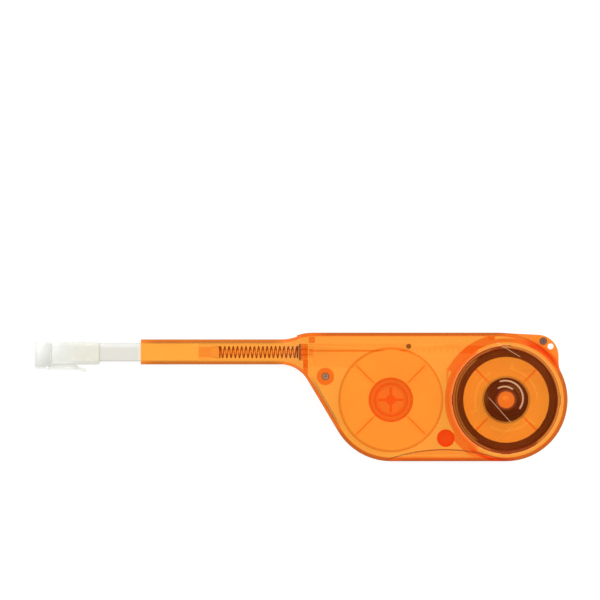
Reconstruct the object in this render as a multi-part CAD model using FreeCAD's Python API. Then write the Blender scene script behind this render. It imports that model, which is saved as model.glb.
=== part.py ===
import FreeCAD, Part
import math
import os
from FreeCAD import Vector

# Cleaning pen for multi-fibre connectors, lying flat: X runs along the nozzle, which points to -X,
# and Z is up. All lengths are in millimetres and all angles in degrees. Sizes are laid out from the
# take-up axle at X = Y = 0. save() then puts the origin under the middle of the whole pen.

# Fits and gaps
slide_fit = 0.1
running_fit = 0.08
press_fit = 0.02
seat_gap = 0.02
free_gap = 0.3

# Housing: two half shells that meet at the seam
body_thickness = 19.0
wall = 1.5
chamber_radius = 23.0
top_rise = 2.3
top_blend_extra = 3.5
edge_round = 1.2
shoulder_offset = 5.7
shoulder_radius = 20.0
neck_length = 13.0
neck_radius = 12.5
ramp_start = 4.0
ramp_length = 9.0

# Tube of the housing round the nozzle sleeve
tube_length = 63.0
tube_below = 4.9
tube_above = 5.1
tube_depth = 13.4

# Ear with the corner screw and the lanyard hole
ear_corner_radius = 8.4
ear_inset = 3.6
ear_drop = 0.84
ear_fillet = 8.0
ear_thickness = 12.0
lanyard_offset = (5.2, 3.74)
lanyard_radius = 1.2

# Round chamber of the take-up reel
chamber_wall = 1.5
chamber_thick = 3.4
chamber_bands = ((106.0, 153.0), (212.0, 264.0))
tape_gate = (240.0, 260.0)
feed_angle = 80.0
wind_angle = -20.0

# Tape and reels
tape_width = 8.0
tape_thickness = 0.14
tape_spread = 2.65
flange_clearance = 2.0
flange_thickness = 0.8
flange_gap = 0.1
reel_gap = 0.5
hub_radius = 8.9
hub_wall = 1.0
full_roll_gap = 1.2
used_roll_depth = 0.7
rib_height = 0.6
rib_width = 1.0
supply_post_radius = 5.0
supply_core_radius = 2.0
supply_foot = 7.0
fin_thickness = 1.0
supply_sleeve_wall = 0.8
supply_sleeve_room = 1.0
take_up_axle_radius = 3.4
take_up_sleeve_wall = 0.62
axle_rise = 1.2
dome_height = 1.0
tape_guide_rise = 3.1
tape_guide_start = 10.0
tape_guide_thickness = 0.6

# Rack and drive gear
tooth_module = 0.75
gear_clearance = 2.75
gear_thickness = 2.2
gear_lift = 0.5
finger_radius = 12.0
finger_slot = 0.8
finger_end = 3.0
finger_angle = 80.0
flank_angle = 20.0
tooth_play = 0.12
stroke = 9.0
rack_end_gap = 1.0
rack_back = 0.9
nozzle_drop = 0.5
plate_gap = 0.4
plate_overlap = 9.1
plate_below = 5.9
plate_above = 3.4
plate_thickness = 2.0
plate_step = 0.6
upright_length = 2.0
rod_socket = 1.5
stop_pin_inset = 2.0
stop_pin_rise = 2.3
stop_pin_radius = 1.0
track_depth = 1.0

# Anti-reverse ring and clutch hub
ring_clearance = 1.8
ring_width = 4.2
ring_tooth_depth = 0.3
ring_teeth = 36
ring_height = 2.6
ring_step = 0.6
recess_extra = 0.7
recess_depth = 0.3
hook_width = 4.0
hook_thickness = 0.8
hook_depth = 0.7
pawl_length = 1.6
pawl_overlap = 1.2
hub_ring_height = 2.6
hub_ring_slope = 2.3

# Nozzle: sleeve, rod and spring
sleeve_height = 7.3
sleeve_depth = 10.6
sleeve_wall = 0.8
sleeve_shown = 28.8
sleeve_hidden = 23.0
collar_length = 5.2
collar_plug = 6.0
collar_height = 4.0
collar_neck = 2.8
rod_radius = 1.1
seat_to_boss = 10.6
spring_radius = 2.45
wire_radius = 0.3
spring_coils = 18
spring_facets = 10
seat_plate_thickness = 0.8
seat_plate_height = 6.6
seat_length = 2.8
partition_drop = 8.0
tip_reach = 3.5
tip_back = 8.0
tip_shoulder = 1.0
tip_window = 2.0
nose_radius = 1.4

# Guide cap and its lid
cap_length = 22.4
cap_front_length = 3.2
cap_below = 5.0
cap_above = 4.3
cap_depth = 12.8
cap_step = 0.85
cap_low_step = 0.65
cap_corner = 0.8
socket_depth = 6.5
socket_wall = 0.7
lid_reach = 3.5
lid_plate = 1.0
lid_overlap = 2.6
lid_lip = 1.9
lid_lip_width = 10.0
hinge_back = 1.5
hinge_drop = 1.1
hinge_radius = 0.9
hinge_pin_radius = 0.35
knuckle_width = 1.6
arm_length = 11.9
arm_width = 5.0
arm_above = 0.7
tail_length = 3.6
tail_width = 7.0
tail_drop = 1.0

# Bosses and screws
neck_boss_offset = (5.1, 9.7)
corner_boss_offset = (2.3, 5.84)
peg_boss_offset = (1.1, 7.7)
key_boss_offset = (5.9, 2.8)
block_boss_offset = (0.5, 2.9)
boss_radius = 3.5
stiffener_gap = 1.1
stiffener_length = 6.4
block_side = 2.4
block_hole = 1.0
key_side = 2.8
key_hole = 1.2
pin_reach = 4.0
peg_hole_radius = 2.2
peg_width = 3.0
peg_height = 3.2
peg_bar = 0.6
peg_web = 0.7
screw_radius = 1.0
screw_head_radius = 1.5
screw_head_height = 1.2
screw_point_radius = 0.2
neck_screw_length = 11.0
corner_screw_length = 9.0
counterbore = 0.8

# Sizes and places that follow. The take-up axle is at X = Y = 0
seam = body_thickness / 2
floor = wall
ceiling = body_thickness - wall
end_radius = chamber_radius + wall
top_y = end_radius + top_rise
top_blend_radius = end_radius + top_blend_extra
flange_radius = chamber_radius - flange_clearance
full_roll_radius = flange_radius - full_roll_gap
used_roll_radius = hub_radius + used_roll_depth
reel_spacing = chamber_radius + chamber_wall + flange_radius + reel_gap
supply_x = -reel_spacing
supply_bore = supply_post_radius + running_fit
supply_sleeve_inner = supply_post_radius + supply_sleeve_room
take_up_bore = take_up_axle_radius + running_fit
take_up_sleeve_radius = take_up_bore + take_up_sleeve_wall
tape_low = seam - tape_width / 2
tape_high = seam + tape_width / 2
flange_low = tape_low - flange_gap - flange_thickness
flange_high = tape_high + flange_gap
flange_top = flange_high + flange_thickness
gear_teeth = int(2 * (chamber_radius - gear_clearance) / tooth_module) - 2
pitch_radius = tooth_module * gear_teeth / 2
addendum = tooth_module
dedendum = 1.25 * tooth_module
gear_low = floor + gear_lift
gear_high = gear_low + gear_thickness
rack_top_y = pitch_radius + dedendum + rack_back
nozzle_y = pitch_radius - nozzle_drop
tube_bottom = nozzle_y - tube_below
tube_top = nozzle_y + tube_above
neck_boss = (supply_x - flange_radius - neck_boss_offset[0], nozzle_y - neck_boss_offset[1])
spring_rear_x = neck_boss[0] - seat_to_boss
seat_x = spring_rear_x + seat_plate_thickness
shoulder_x = spring_rear_x + shoulder_offset
neck_x = shoulder_x - neck_length
ramp_x = shoulder_x - ramp_start
tube_mouth_x = spring_rear_x - tube_length
bore_half_y = sleeve_height / 2 + slide_fit
bore_half_z = sleeve_depth / 2 + slide_fit
sleeve_front_x = tube_mouth_x - sleeve_shown
sleeve_rear_x = tube_mouth_x + sleeve_hidden
collar_rear_x = sleeve_rear_x + collar_length
spring_front_x = collar_rear_x + collar_neck
plate_start_x = seat_x + seat_length + plate_gap
plate_end_x = supply_x + plate_overlap
plate_low_y = nozzle_y - plate_below
plate_high_y = nozzle_y + plate_above
rack_start_x = plate_end_x - stop_pin_inset
stop_pin_x = plate_end_x - stop_pin_inset
stop_pin_y = nozzle_y + stop_pin_rise
ring_outer_radius = chamber_radius - ring_clearance
ring_tip_radius = ring_outer_radius - ring_width
recess_radius = ring_outer_radius + recess_extra
ear_corner_x = end_radius - ear_inset - ear_corner_radius
ear_corner_y = top_y - ear_drop - ear_corner_radius
lanyard_x = ear_corner_x + lanyard_offset[0]
lanyard_y = ear_corner_y + lanyard_offset[1]
tip_x = sleeve_front_x - tip_reach
cap_front_x = tip_x - socket_depth
cap_step_x = cap_front_x + cap_front_length
cap_rear_x = cap_front_x + cap_length
cap_low_y = nozzle_y - cap_below
cap_high_y = nozzle_y + cap_above
lid_front_x = cap_front_x - lid_reach
hinge_x = cap_front_x + hinge_back
hinge_y = cap_low_y - hinge_drop
arm_end_x = hinge_x + arm_length
tail_end_x = arm_end_x + tail_length
corner_boss = (ear_corner_x + corner_boss_offset[0], ear_corner_y + corner_boss_offset[1])
peg_boss = (-reel_spacing / 2 - peg_boss_offset[0], peg_boss_offset[1] - chamber_radius)
key_boss = (-key_boss_offset[0], top_y - key_boss_offset[1])
block_boss = (shoulder_x - block_boss_offset[0], top_y - block_boss_offset[1])
far_x = 3 * tube_mouth_x


def box(x0, x1, y0, y1, z0, z1):
    return Part.makeBox(x1 - x0, y1 - y0, z1 - z0, Vector(x0, y0, z0))


def disc(x, y, radius, z0, z1):
    return Part.makeCylinder(radius, z1 - z0, Vector(x, y, z0))


def ring(x, y, inner, outer, z0, z1):
    return disc(x, y, outer, z0, z1).cut(disc(x, y, inner, z0, z1))


def prism(points, z0, z1):
    corners = [Vector(x, y, z0) for x, y in points]
    face = Part.Face(Part.makePolygon(corners + corners[:1]))
    return face.extrude(Vector(0, 0, z1 - z0))


def side_prism(points, y0, y1):
    """Extrudes an outline of (x, z) points along Y."""
    corners = [Vector(x, y0, z) for x, z in points]
    face = Part.Face(Part.makePolygon(corners + corners[:1]))
    return face.extrude(Vector(0, y1 - y0, 0))


def polar(radius, angle, x=0.0, y=0.0):
    return (x + radius * math.cos(math.radians(angle)), y + radius * math.sin(math.radians(angle)))


def sector(radius, start, end):
    """A wedge about the take-up axle that is taller than the pen, for cutting angles out of rings."""
    steps = max(2, math.ceil((end - start) / 30))
    rim = [polar(radius, start + (end - start) * i / steps) for i in range(steps + 1)]
    return prism([(0.0, 0.0)] + rim, -1, body_thickness + 1)


def tangent(a, b):
    """The straight run from stop a to stop b. A stop is (x, y, radius, sense), sense 1 turning left."""
    dx, dy = b[0] - a[0], b[1] - a[1]
    lean = max(-1.0, min(1.0, (b[3] * b[2] - a[3] * a[2]) / math.hypot(dx, dy)))
    heading = math.atan2(dy, dx) - math.asin(lean)
    left = (-math.sin(heading), math.cos(heading))
    start = Vector(a[0] - a[3] * a[2] * left[0], a[1] - a[3] * a[2] * left[1], 0)
    end = Vector(b[0] - b[3] * b[2] * left[0], b[1] - b[3] * b[2] * left[1], 0)
    return start, end


def turn(stop, start, end):
    """The arc round a stop from one tangent point to the next."""
    a0 = math.atan2(start.y - stop[1], start.x - stop[0])
    sweep = stop[3] * (math.atan2(end.y - stop[1], end.x - stop[0]) - a0) % (2 * math.pi)
    middle = a0 + stop[3] * sweep / 2
    point = Vector(stop[0] + stop[2] * math.cos(middle), stop[1] + stop[2] * math.sin(middle), 0)
    return Part.Arc(start, point, end).toShape()


def run_round(stops, closed):
    """Edges of a line pulled round the stops, like a belt round pulleys."""
    count = len(stops)
    legs = [tangent(stops[i], stops[(i + 1) % count]) for i in range(count if closed else count - 1)]
    edges = []
    for i, (start, end) in enumerate(legs):
        if (closed or i) and stops[i][2] > 0 and (start - legs[i - 1][1]).Length > 1e-4:
            edges.append(turn(stops[i], legs[i - 1][1], start))
        if (end - start).Length > 1e-4:
            edges.append(Part.makeLine(start, end))
    return edges


def ribbon(stops, thickness, z0, z1):
    """A thin band pulled round the stops. Its middle line follows them."""
    half = thickness / 2
    sides = []
    for side in (half, -half):
        shifted = [(x, y, r - s * side, s) for x, y, r, s in stops]
        sides.append(run_round(shifted, False))
    ends = [[side[0].firstVertex().Point, side[-1].lastVertex().Point] for side in sides]
    caps = [Part.makeLine(ends[0][i], ends[1][i]) for i in (0, 1)]
    face = Part.Face(Part.Wire(Part.__sortEdges__(sides[0] + sides[1] + caps)))
    return face.extrude(Vector(0, 0, z1 - z0)).translated(Vector(0, 0, z0))


def one(shapes):
    joined = shapes[0].fuse(list(shapes[1:])) if len(shapes) > 1 else shapes[0]
    return joined.removeSplitter()


def blend_centre():
    """Centre of the arc that joins the housing's round end to its top edge."""
    drop = top_y - top_blend_radius
    return -math.sqrt(top_blend_extra ** 2 - drop ** 2), drop


def housing_face(inset, low, high):
    """Outline of the housing seen from above, inset by a wall, with the tube between low and high."""
    stops = [
        (0.0, 0.0, end_radius - inset, 1),
        (*blend_centre(), top_blend_radius - inset, 1),
        (shoulder_x, top_y - shoulder_radius, shoulder_radius - inset, 1),
        (neck_x, tube_top + shoulder_radius, tube_top + shoulder_radius - high, -1),
        (far_x, high, 0.0, 1),
        (far_x, low, 0.0, 1),
        (neck_x, tube_bottom - neck_radius, low - tube_bottom + neck_radius, -1),
        (supply_x, 0.0, end_radius - inset, 1),
    ]
    return Part.Face(Part.Wire(Part.__sortEdges__(run_round(stops, True))))


def housing_block(inset, low, high, depth, x_start):
    """The housing's outer form, or with an inset its cavity. Seen from the side it slopes down to the tube."""
    plan = housing_face(inset, low, high).extrude(Vector(0, 0, body_thickness))
    tube_low = seam - depth / 2
    tube_high = seam + depth / 2
    slope_x = ramp_x + inset / 2
    side = side_prism(
        [
            (x_start, tube_low),
            (slope_x - ramp_length, tube_low),
            (slope_x, inset),
            (2 * end_radius, inset),
            (2 * end_radius, body_thickness - inset),
            (slope_x, body_thickness - inset),
            (slope_x - ramp_length, tube_high),
            (x_start, tube_high),
        ],
        -2 * end_radius,
        2 * end_radius,
    )
    return plan.common(side)


def ear_plate():
    """Lug at the top corner, thinner than the body, that blends into its round end."""
    fillet_x = ear_corner_x + ear_corner_radius + ear_fillet
    fillet_y = math.sqrt((end_radius + ear_fillet) ** 2 - fillet_x ** 2)
    foot = end_radius / (end_radius + ear_fillet)
    blend_x = blend_centre()[0]
    stops = [
        (0.0, 0.0, 0.0, 1),
        (fillet_x * foot, fillet_y * foot, 0.0, 1),
        (fillet_x, fillet_y, ear_fillet, -1),
        (ear_corner_x, ear_corner_y, ear_corner_radius, 1),
        (blend_x, top_y - seat_gap, 0.0, 1),
    ]
    face = Part.Face(Part.Wire(Part.__sortEdges__(run_round(stops, True))))
    z0 = seam - ear_thickness / 2
    return face.extrude(Vector(0, 0, ear_thickness)).translated(Vector(0, 0, z0))


def rounded(block, levels, radius):
    """Rounds the long outer edges that lie at these levels."""
    edges = []
    for edge in block.Edges:
        bounds = edge.BoundBox
        flat = bounds.ZLength < 1e-4 and any(abs(bounds.ZMin - z) < 1e-4 for z in levels)
        if flat and bounds.XLength > 1e-4:
            edges.append(edge)
    return block.makeFillet(radius, edges)


def screw(x, y, head_top, length):
    """Self-tapping screw with a flat round head, point down."""
    neck = head_top - screw_head_height
    head = disc(x, y, screw_head_radius, neck, head_top)
    shank = disc(x, y, screw_radius, neck - length + screw_radius, neck)
    point = Part.makeCone(screw_point_radius, screw_radius, screw_radius, Vector(x, y, neck - length))
    return one([head, shank, point])


def gate_lip():
    """Where the return tape turns round the end of the chamber wall: centre and radius of its bend."""
    x, y = polar(chamber_radius + chamber_wall / 2, tape_gate[0] + 1.0)
    return x, y, chamber_wall / 2 + free_gap + tape_thickness / 2


def chamber():
    """Round wall of the take-up chamber, thicker where the tape and the rack pass it."""
    shapes = [ring(0, 0, chamber_radius, chamber_radius + chamber_wall, floor, ceiling)]
    thick = ring(0, 0, chamber_radius, chamber_radius + chamber_thick, floor, ceiling)
    for start, end in chamber_bands:
        shapes.append(thick.common(sector(2 * end_radius, start, end)))
    whole = one(shapes)
    rack_slot = box(
        supply_x, chamber_radius / 2,
        pitch_radius - addendum - free_gap, rack_top_y + free_gap,
        floor - 1, gear_high + free_gap,
    )
    level = (tape_low - free_gap, tape_high + free_gap)
    gate = sector(2 * end_radius, *tape_gate).common(box(-end_radius, end_radius, -end_radius, 0, *level))
    lip_x, lip_y, lip_radius = gate_lip()
    channel = box(-reel_spacing, lip_x, -end_radius, lip_y - lip_radius + tape_thickness / 2 + free_gap, *level)
    return whole.cut([rack_slot, gate, channel])


def tape_slots(x0, x1):
    """Room for the feed tape and the return tape, above and below the nozzle axis."""
    room = tape_thickness / 2 + free_gap
    return [
        box(x0, x1, y - room, y + room, tape_low - free_gap, tape_high + free_gap)
        for y in (nozzle_y - tape_spread, nozzle_y + tape_spread)
    ]


def along(x, radius, length):
    """Round bar on the nozzle's axis."""
    return Part.makeCylinder(radius, length, Vector(x, nozzle_y, seam), Vector(1, 0, 0))


def seat_block():
    """Block that closes the tube behind the spring, with a partition, pierced for rod and tapes."""
    half = seat_plate_height / 2
    x0, x1 = seat_x + seat_gap, seat_x + seat_length
    block = box(x0, x1, nozzle_y - half, nozzle_y + half, floor, ceiling)
    partition = box(x0 + seat_length / 3, x1, plate_low_y - partition_drop, nozzle_y + half, floor, ceiling)
    hole = along(x0 - 1, rod_radius + slide_fit, seat_length + 2)
    passage = box(
        x0 - 1, x1 + 1, plate_low_y - free_gap, plate_high_y + free_gap,
        floor - 1, gear_low + plate_thickness + free_gap,
    )
    return one([block, partition]).cut([hole, passage] + tape_slots(x0 - 1, x1 + 1))


def pillar(place, radius, z0, z1):
    return disc(place[0], place[1], radius, z0, z1)


def square_post(place, side, z0, z1):
    return box(place[0] - side / 2, place[0] + side / 2, place[1] - side / 2, place[1] + side / 2, z0, z1)


def dome(radius, base, height):
    """Round-topped end of an axle."""
    sphere_radius = (radius ** 2 + height ** 2) / (2 * height)
    ball = Part.makeSphere(sphere_radius, Vector(0, 0, base + height - sphere_radius))
    return ball.common(disc(0, 0, radius, base, base + height))


def housing_shell():
    """Outer form with rounded edges and the ear, less the cavity and the lanyard hole."""
    tube_low = seam - tube_depth / 2
    outer = housing_block(0.0, tube_bottom, tube_top, tube_depth, tube_mouth_x)
    outer = rounded(outer, (0.0, body_thickness, tube_low, body_thickness - tube_low), edge_round)
    outer = outer.fuse(ear_plate())
    low, high = nozzle_y - bore_half_y, nozzle_y + bore_half_y
    cavity = housing_block(wall, low, high, 2 * bore_half_z, tube_mouth_x - 1)
    lanyard = disc(lanyard_x, lanyard_y, lanyard_radius, -1, body_thickness + 1)
    recess = disc(0, 0, recess_radius, body_thickness - recess_depth, body_thickness + 1)
    return outer, outer.cut([cavity, lanyard, recess])


def half_space(z0, z1):
    return box(far_x, 3 * end_radius, -2 * end_radius, 2 * end_radius, z0, z1)


def guide_rib():
    """Curved rib between the supply reel and the used tape. It is low where the tape crosses it."""
    left = (supply_x - free_gap, -chamber_radius - wall / 3)
    top = (-reel_spacing / 2, -chamber_radius + tape_guide_rise)
    right = polar(chamber_radius + chamber_wall, tape_gate[0] - 1.5)
    arc = Part.Arc(*[Vector(x, y, 0) for x, y in (left, top, right)]).toShape().Curve
    half = tape_guide_thickness / 2
    rib = ring(arc.Center.x, arc.Center.y, arc.Radius - half, arc.Radius + half, floor, seam)
    low = box(left[0], right[0], -end_radius, 0, 0, tape_low - free_gap)
    tall = box(left[0] + tape_guide_start, right[0], -end_radius, 0, 0, seam)
    return rib.common(one([low, tall]))


def lower_shell(outer, shell):
    low_half = half_space(-1, seam - seat_gap)
    post_top = flange_top + rib_height
    axle_top = post_top + axle_rise
    corner_low = seam - ear_thickness / 2
    walls = one([chamber(), seat_block()])
    bosses = [
        pillar(neck_boss, boss_radius, floor, seam),
        pillar(peg_boss, boss_radius, floor, seam),
        square_post(block_boss, block_side, floor, seam),
        square_post(key_boss, key_side, gear_high + free_gap, seam),
    ]
    bar_x = supply_x + flange_radius + stiffener_gap
    bar_y = plate_low_y - free_gap
    stiffener = box(bar_x, bar_x + fin_thickness, bar_y - stiffener_length, bar_y, floor, seam)
    rail_y = rack_top_y + slide_fit
    rail = box(peg_boss[0], peg_boss[0] / 2, rail_y, rail_y + wall / 2, floor, gear_high)
    half = supply_post_radius
    fins = [
        box(supply_x - half, supply_x + half, -fin_thickness / 2, fin_thickness / 2, floor, post_top),
        box(supply_x - fin_thickness / 2, supply_x + fin_thickness / 2, -half, half, floor, post_top),
    ]
    cross = one(fins + [disc(supply_x, 0, supply_core_radius, floor, post_top)])
    cross = cross.common(disc(supply_x, 0, supply_post_radius, 0, body_thickness))
    posts = [
        cross,
        ring(supply_x, 0, supply_foot - wall, supply_foot, floor, flange_low - slide_fit),
        disc(0, 0, take_up_axle_radius, floor, axle_top),
        dome(take_up_axle_radius, axle_top, dome_height),
    ]
    inside = one(bosses + [guide_rib(), stiffener, rail, walls]).common(outer)
    whole = one([shell.common(low_half), inside.common(low_half)] + posts)
    slot_half = stop_pin_radius + slide_fit
    track_low = floor - track_depth
    track_y = (stop_pin_y - slot_half, stop_pin_y + slot_half)
    track = one([
        box(stop_pin_x, stop_pin_x + stroke, *track_y, track_low, gear_low),
        disc(stop_pin_x, stop_pin_y, slot_half, track_low, gear_low),
        disc(stop_pin_x + stroke, stop_pin_y, slot_half, track_low, gear_low),
    ])
    holes = [
        pillar(neck_boss, screw_radius + press_fit, 2 * wall, seam + 1),
        pillar(corner_boss, screw_radius + press_fit, corner_low + 1, seam + 1),
        pillar(peg_boss, peg_hole_radius, 2 * wall, seam + 1),
        square_post(block_boss, block_hole, 2 * wall, seam + 1),
        square_post(key_boss, key_hole, gear_high + 1, seam + 1),
        track,
    ]
    return whole.cut(holes)


def upper_shell(outer, shell):
    high_half = half_space(seam + seat_gap, body_thickness + 1)
    bosses = [
        pillar(neck_boss, boss_radius, seam, ceiling),
        pillar(peg_boss, boss_radius, seam, ceiling),
        square_post(block_boss, block_side, seam, ceiling),
        square_post(key_boss, key_side, seam, ceiling),
    ]
    inside = one(bosses + [chamber(), seat_block()]).common(outer).common(high_half)
    x, y = peg_boss
    half_width, half_height = peg_width / 2, peg_height / 2
    foot, joint = seam - pin_reach, seam + 2 * seat_gap
    pins = [
        box(x - half_width, x + half_width, y + half_height - peg_bar, y + half_height, foot, joint),
        box(x - half_width, x + half_width, y - half_height, y - half_height + peg_bar, foot, joint),
        box(x - peg_web / 2, x + peg_web / 2, y - half_height, y + half_height, foot, joint),
        square_post(block_boss, block_hole - 2 * slide_fit, foot, joint),
        square_post(key_boss, key_hole - 2 * slide_fit, foot, joint),
    ]
    whole = one([shell.common(high_half), inside] + pins)
    ear_top = seam + ear_thickness / 2
    head_seat = body_thickness - counterbore - screw_head_height - seat_gap
    holes = [
        pillar(neck_boss, screw_radius + slide_fit, seam - 1, body_thickness + 1),
        pillar(neck_boss, screw_head_radius + slide_fit, head_seat, body_thickness + 1),
        pillar(corner_boss, screw_radius + slide_fit, seam - 1, body_thickness),
        pillar(corner_boss, screw_head_radius + slide_fit, ear_top - counterbore, body_thickness),
    ]
    for i in range(4):
        holes.append(hook(i, slide_fit, ceiling - 1, ceiling + hook_depth + slide_fit))
    return whole.cut(holes)


def hook(index, gap, z0, z1):
    """Hook of the anti-reverse ring, or with a gap the pocket for it in the upper shell."""
    half = hook_width / 2 + gap
    start = ring_outer_radius - free_gap
    block = box(start - gap, start + hook_thickness + gap, -half, half, z0, z1)
    return block.rotate(Vector(), Vector(0, 0, 1), 90 * index)


def toothed(count, point_of_tooth):
    """Closed outline made of one tooth's points, repeated round the axle."""
    return [point for i in range(count) for point in point_of_tooth(360.0 * i / count)]


def anti_reverse_ring():
    """Ring with saw teeth inside that the reel's pawls ride over. Its outer edge is stepped."""
    base = ceiling - ring_height
    top = ceiling - seat_gap
    body = disc(0, 0, ring_outer_radius, base, top)
    step = ring(0, 0, ring_outer_radius - ring_step, ring_outer_radius + 1, top - ring_step, top + 1)
    pitch = 360.0 / ring_teeth

    def saw(angle):
        return [polar(ring_tip_radius, angle), polar(ring_tip_radius + ring_tooth_depth, angle + pitch / 6)]

    space = prism(toothed(ring_teeth, saw), base - 1, top + 1)
    body = body.cut([space, step])
    return one([body] + [hook(i, 0.0, ceiling - ring_step - wall / 2, ceiling + hook_depth) for i in range(4)])


def reel(x, bore, sleeve_inner, sleeve_radius, foot):
    """Hub drum, lower flange, inner sleeve and the web between them, all one moulding."""
    shapes = [
        ring(x, 0, hub_radius - hub_wall, hub_radius, flange_low, flange_high - seat_gap),
        ring(x, 0, bore, flange_radius, flange_low, flange_low + flange_thickness),
        ring(x, 0, sleeve_inner, sleeve_radius, foot, flange_top),
    ]
    return one(shapes)


def top_flange(x, rib_end):
    """Upper flange, seated on the drum, with four raised ribs."""
    shapes = [ring(x, 0, hub_radius - hub_wall, flange_radius, flange_high, flange_top)]
    for i in range(4):
        rib = box(hub_radius, rib_end, -rib_width / 2, rib_width / 2, flange_high, flange_top + rib_height)
        rib.rotate(Vector(), Vector(0, 0, 1), 45 + 90 * i)
        shapes.append(rib.translated(Vector(x, 0, 0)))
    return one(shapes)


def take_up_flange():
    """Upper flange of the take-up reel. Its ribs end in pawls that stand inside the anti-reverse ring."""
    tip = ring_tip_radius - free_gap
    pawls = []
    for i in range(4):
        top = ceiling - ring_height + pawl_overlap
        pawl = box(tip - pawl_length, tip, -rib_width / 2, rib_width / 2, flange_high, top)
        pawls.append(pawl.rotate(Vector(), Vector(0, 0, 1), 45 + 90 * i))
    return one([top_flange(0, tip - pawl_length / 2)] + pawls)


def tape_roll(x, outer):
    return ring(x, 0, hub_radius + press_fit, outer, tape_low, tape_high)


def clutch_hub():
    """Ratchet hub pressed on the take-up sleeve, with a stepped round top."""
    low = flange_top + seat_gap
    top = low + hub_ring_height
    inner = take_up_sleeve_radius + press_fit
    outer = hub_radius - slide_fit
    profile = [
        (inner, low), (outer, low), (outer, top - 2 * ring_step),
        (outer - hub_ring_slope, top - ring_step), (inner, top),
    ]
    corners = [Vector(r, 0, z) for r, z in profile]
    face = Part.Face(Part.makePolygon(corners + corners[:1]))
    return face.revolve(Vector(), Vector(0, 0, 1), 360)


def drive_gear():
    """Spur gear under the take-up reel, with three spring fingers cut in its web."""
    pitch = 360.0 / gear_teeth
    lean = math.degrees(math.tan(math.radians(flank_angle)) / pitch_radius)
    half = pitch / 4 - math.degrees(tooth_play / pitch_radius) / 2
    tip, root = pitch_radius + addendum, pitch_radius - dedendum

    def tooth(angle):
        wide, narrow = half + dedendum * lean, half - addendum * lean
        return [
            polar(root, angle - wide), polar(tip, angle - narrow),
            polar(tip, angle + narrow), polar(root, angle + wide),
        ]

    # the rack's teeth stand on the pitch line where a gap of the gear points at it
    phase = 90.0 + pitch / 2
    outline = [point for i in range(gear_teeth) for point in tooth(phase + i * pitch)]
    blank = prism(outline, gear_low, gear_high)
    fingers = []
    for i in range(3):
        slot = ring(0, 0, finger_radius, finger_radius + finger_slot, gear_low - 1, gear_high + 1)
        slot = slot.common(sector(end_radius, 120 * i, 120 * i + finger_angle))
        half_slot = finger_slot / 2
        end = box(finger_radius, finger_radius + finger_end, -half_slot, half_slot, gear_low - 1, gear_high + 1)
        end.rotate(Vector(), Vector(0, 0, 1), 120 * i + finger_angle)
        fingers.append(one([slot, end]))
    bore = disc(0, 0, take_up_bore, 0, body_thickness)
    return blank.cut([bore] + fingers)


def slide_plate():
    """Plate with the rack along one edge and an upright that the rod pushes."""
    z0, z1 = gear_low, gear_low + plate_thickness
    x0, x1 = plate_start_x, plate_end_x
    bar_low = pitch_radius + dedendum
    plate = box(x0, x1, plate_low_y, plate_high_y, z0, z1 - plate_step)
    raised = box(x0, x1, bar_low - rack_back, plate_high_y, z0, z1)
    upright = box(
        x0, x0 + upright_length, nozzle_y - rod_radius - rack_back, nozzle_y + rod_radius + plate_step,
        z0, seam + rod_radius + rack_back,
    )
    bar = box(x1 - wall, -rack_end_gap, bar_low, rack_top_y, gear_low, gear_high)
    pitch = math.pi * tooth_module
    half = pitch / 4 - tooth_play / 2
    lean = math.tan(math.radians(flank_angle))
    low, high = pitch_radius - addendum, bar_low + slide_fit
    wide, narrow = half + (dedendum + slide_fit) * lean, half - addendum * lean
    teeth = []
    for i in range(int(-rack_start_x / pitch)):
        x = -pitch * (i + 1)
        if x - wide > rack_start_x:
            outline = [(x - wide, high), (x - narrow, low), (x + narrow, low), (x + wide, high)]
            teeth.append(prism(outline, gear_low, gear_high))
    hole = disc(stop_pin_x, stop_pin_y, stop_pin_radius + press_fit, 0, seam)
    socket = along(x0 - rod_socket, rod_radius + press_fit, 2 * rod_socket)
    return one([plate, raised, upright, bar] + teeth).cut([hole, socket])


def nozzle_sleeve():
    """Hollow nozzle shaft, open at both ends, that carries the tip."""
    half_y, half_z = sleeve_height / 2, sleeve_depth / 2
    block = box(
        sleeve_front_x, sleeve_rear_x, nozzle_y - half_y, nozzle_y + half_y, seam - half_z, seam + half_z
    )
    long_edges = [e for e in block.Edges if e.BoundBox.XLength > 1]
    block = block.makeFillet(0.75 * sleeve_wall, long_edges)
    hollow = box(
        sleeve_front_x - 1, sleeve_rear_x + 1,
        nozzle_y - half_y + sleeve_wall, nozzle_y + half_y - sleeve_wall,
        seam - half_z + sleeve_wall, seam + half_z - sleeve_wall,
    )
    return block.cut(hollow)


def slide_rod():
    """Collar that closes the sleeve's rear between the tapes, with the rod inside the spring."""
    half_y, half_z = collar_height / 2, sleeve_depth / 2
    inner_z = half_z - sleeve_wall
    y0, y1 = nozzle_y - half_y, nozzle_y + half_y
    plug = box(sleeve_rear_x - collar_plug, collar_rear_x, y0, y1, seam - inner_z, seam + inner_z)
    collar = box(sleeve_rear_x, collar_rear_x, y0, y1, seam - half_z, seam + half_z)
    neck = Part.makeCone(
        half_y, spring_radius, collar_neck, Vector(collar_rear_x, nozzle_y, seam), Vector(1, 0, 0)
    )
    rod = along(collar_rear_x, rod_radius, plate_start_x + rod_socket - collar_rear_x)
    return one([plug, collar, neck, rod])


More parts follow.
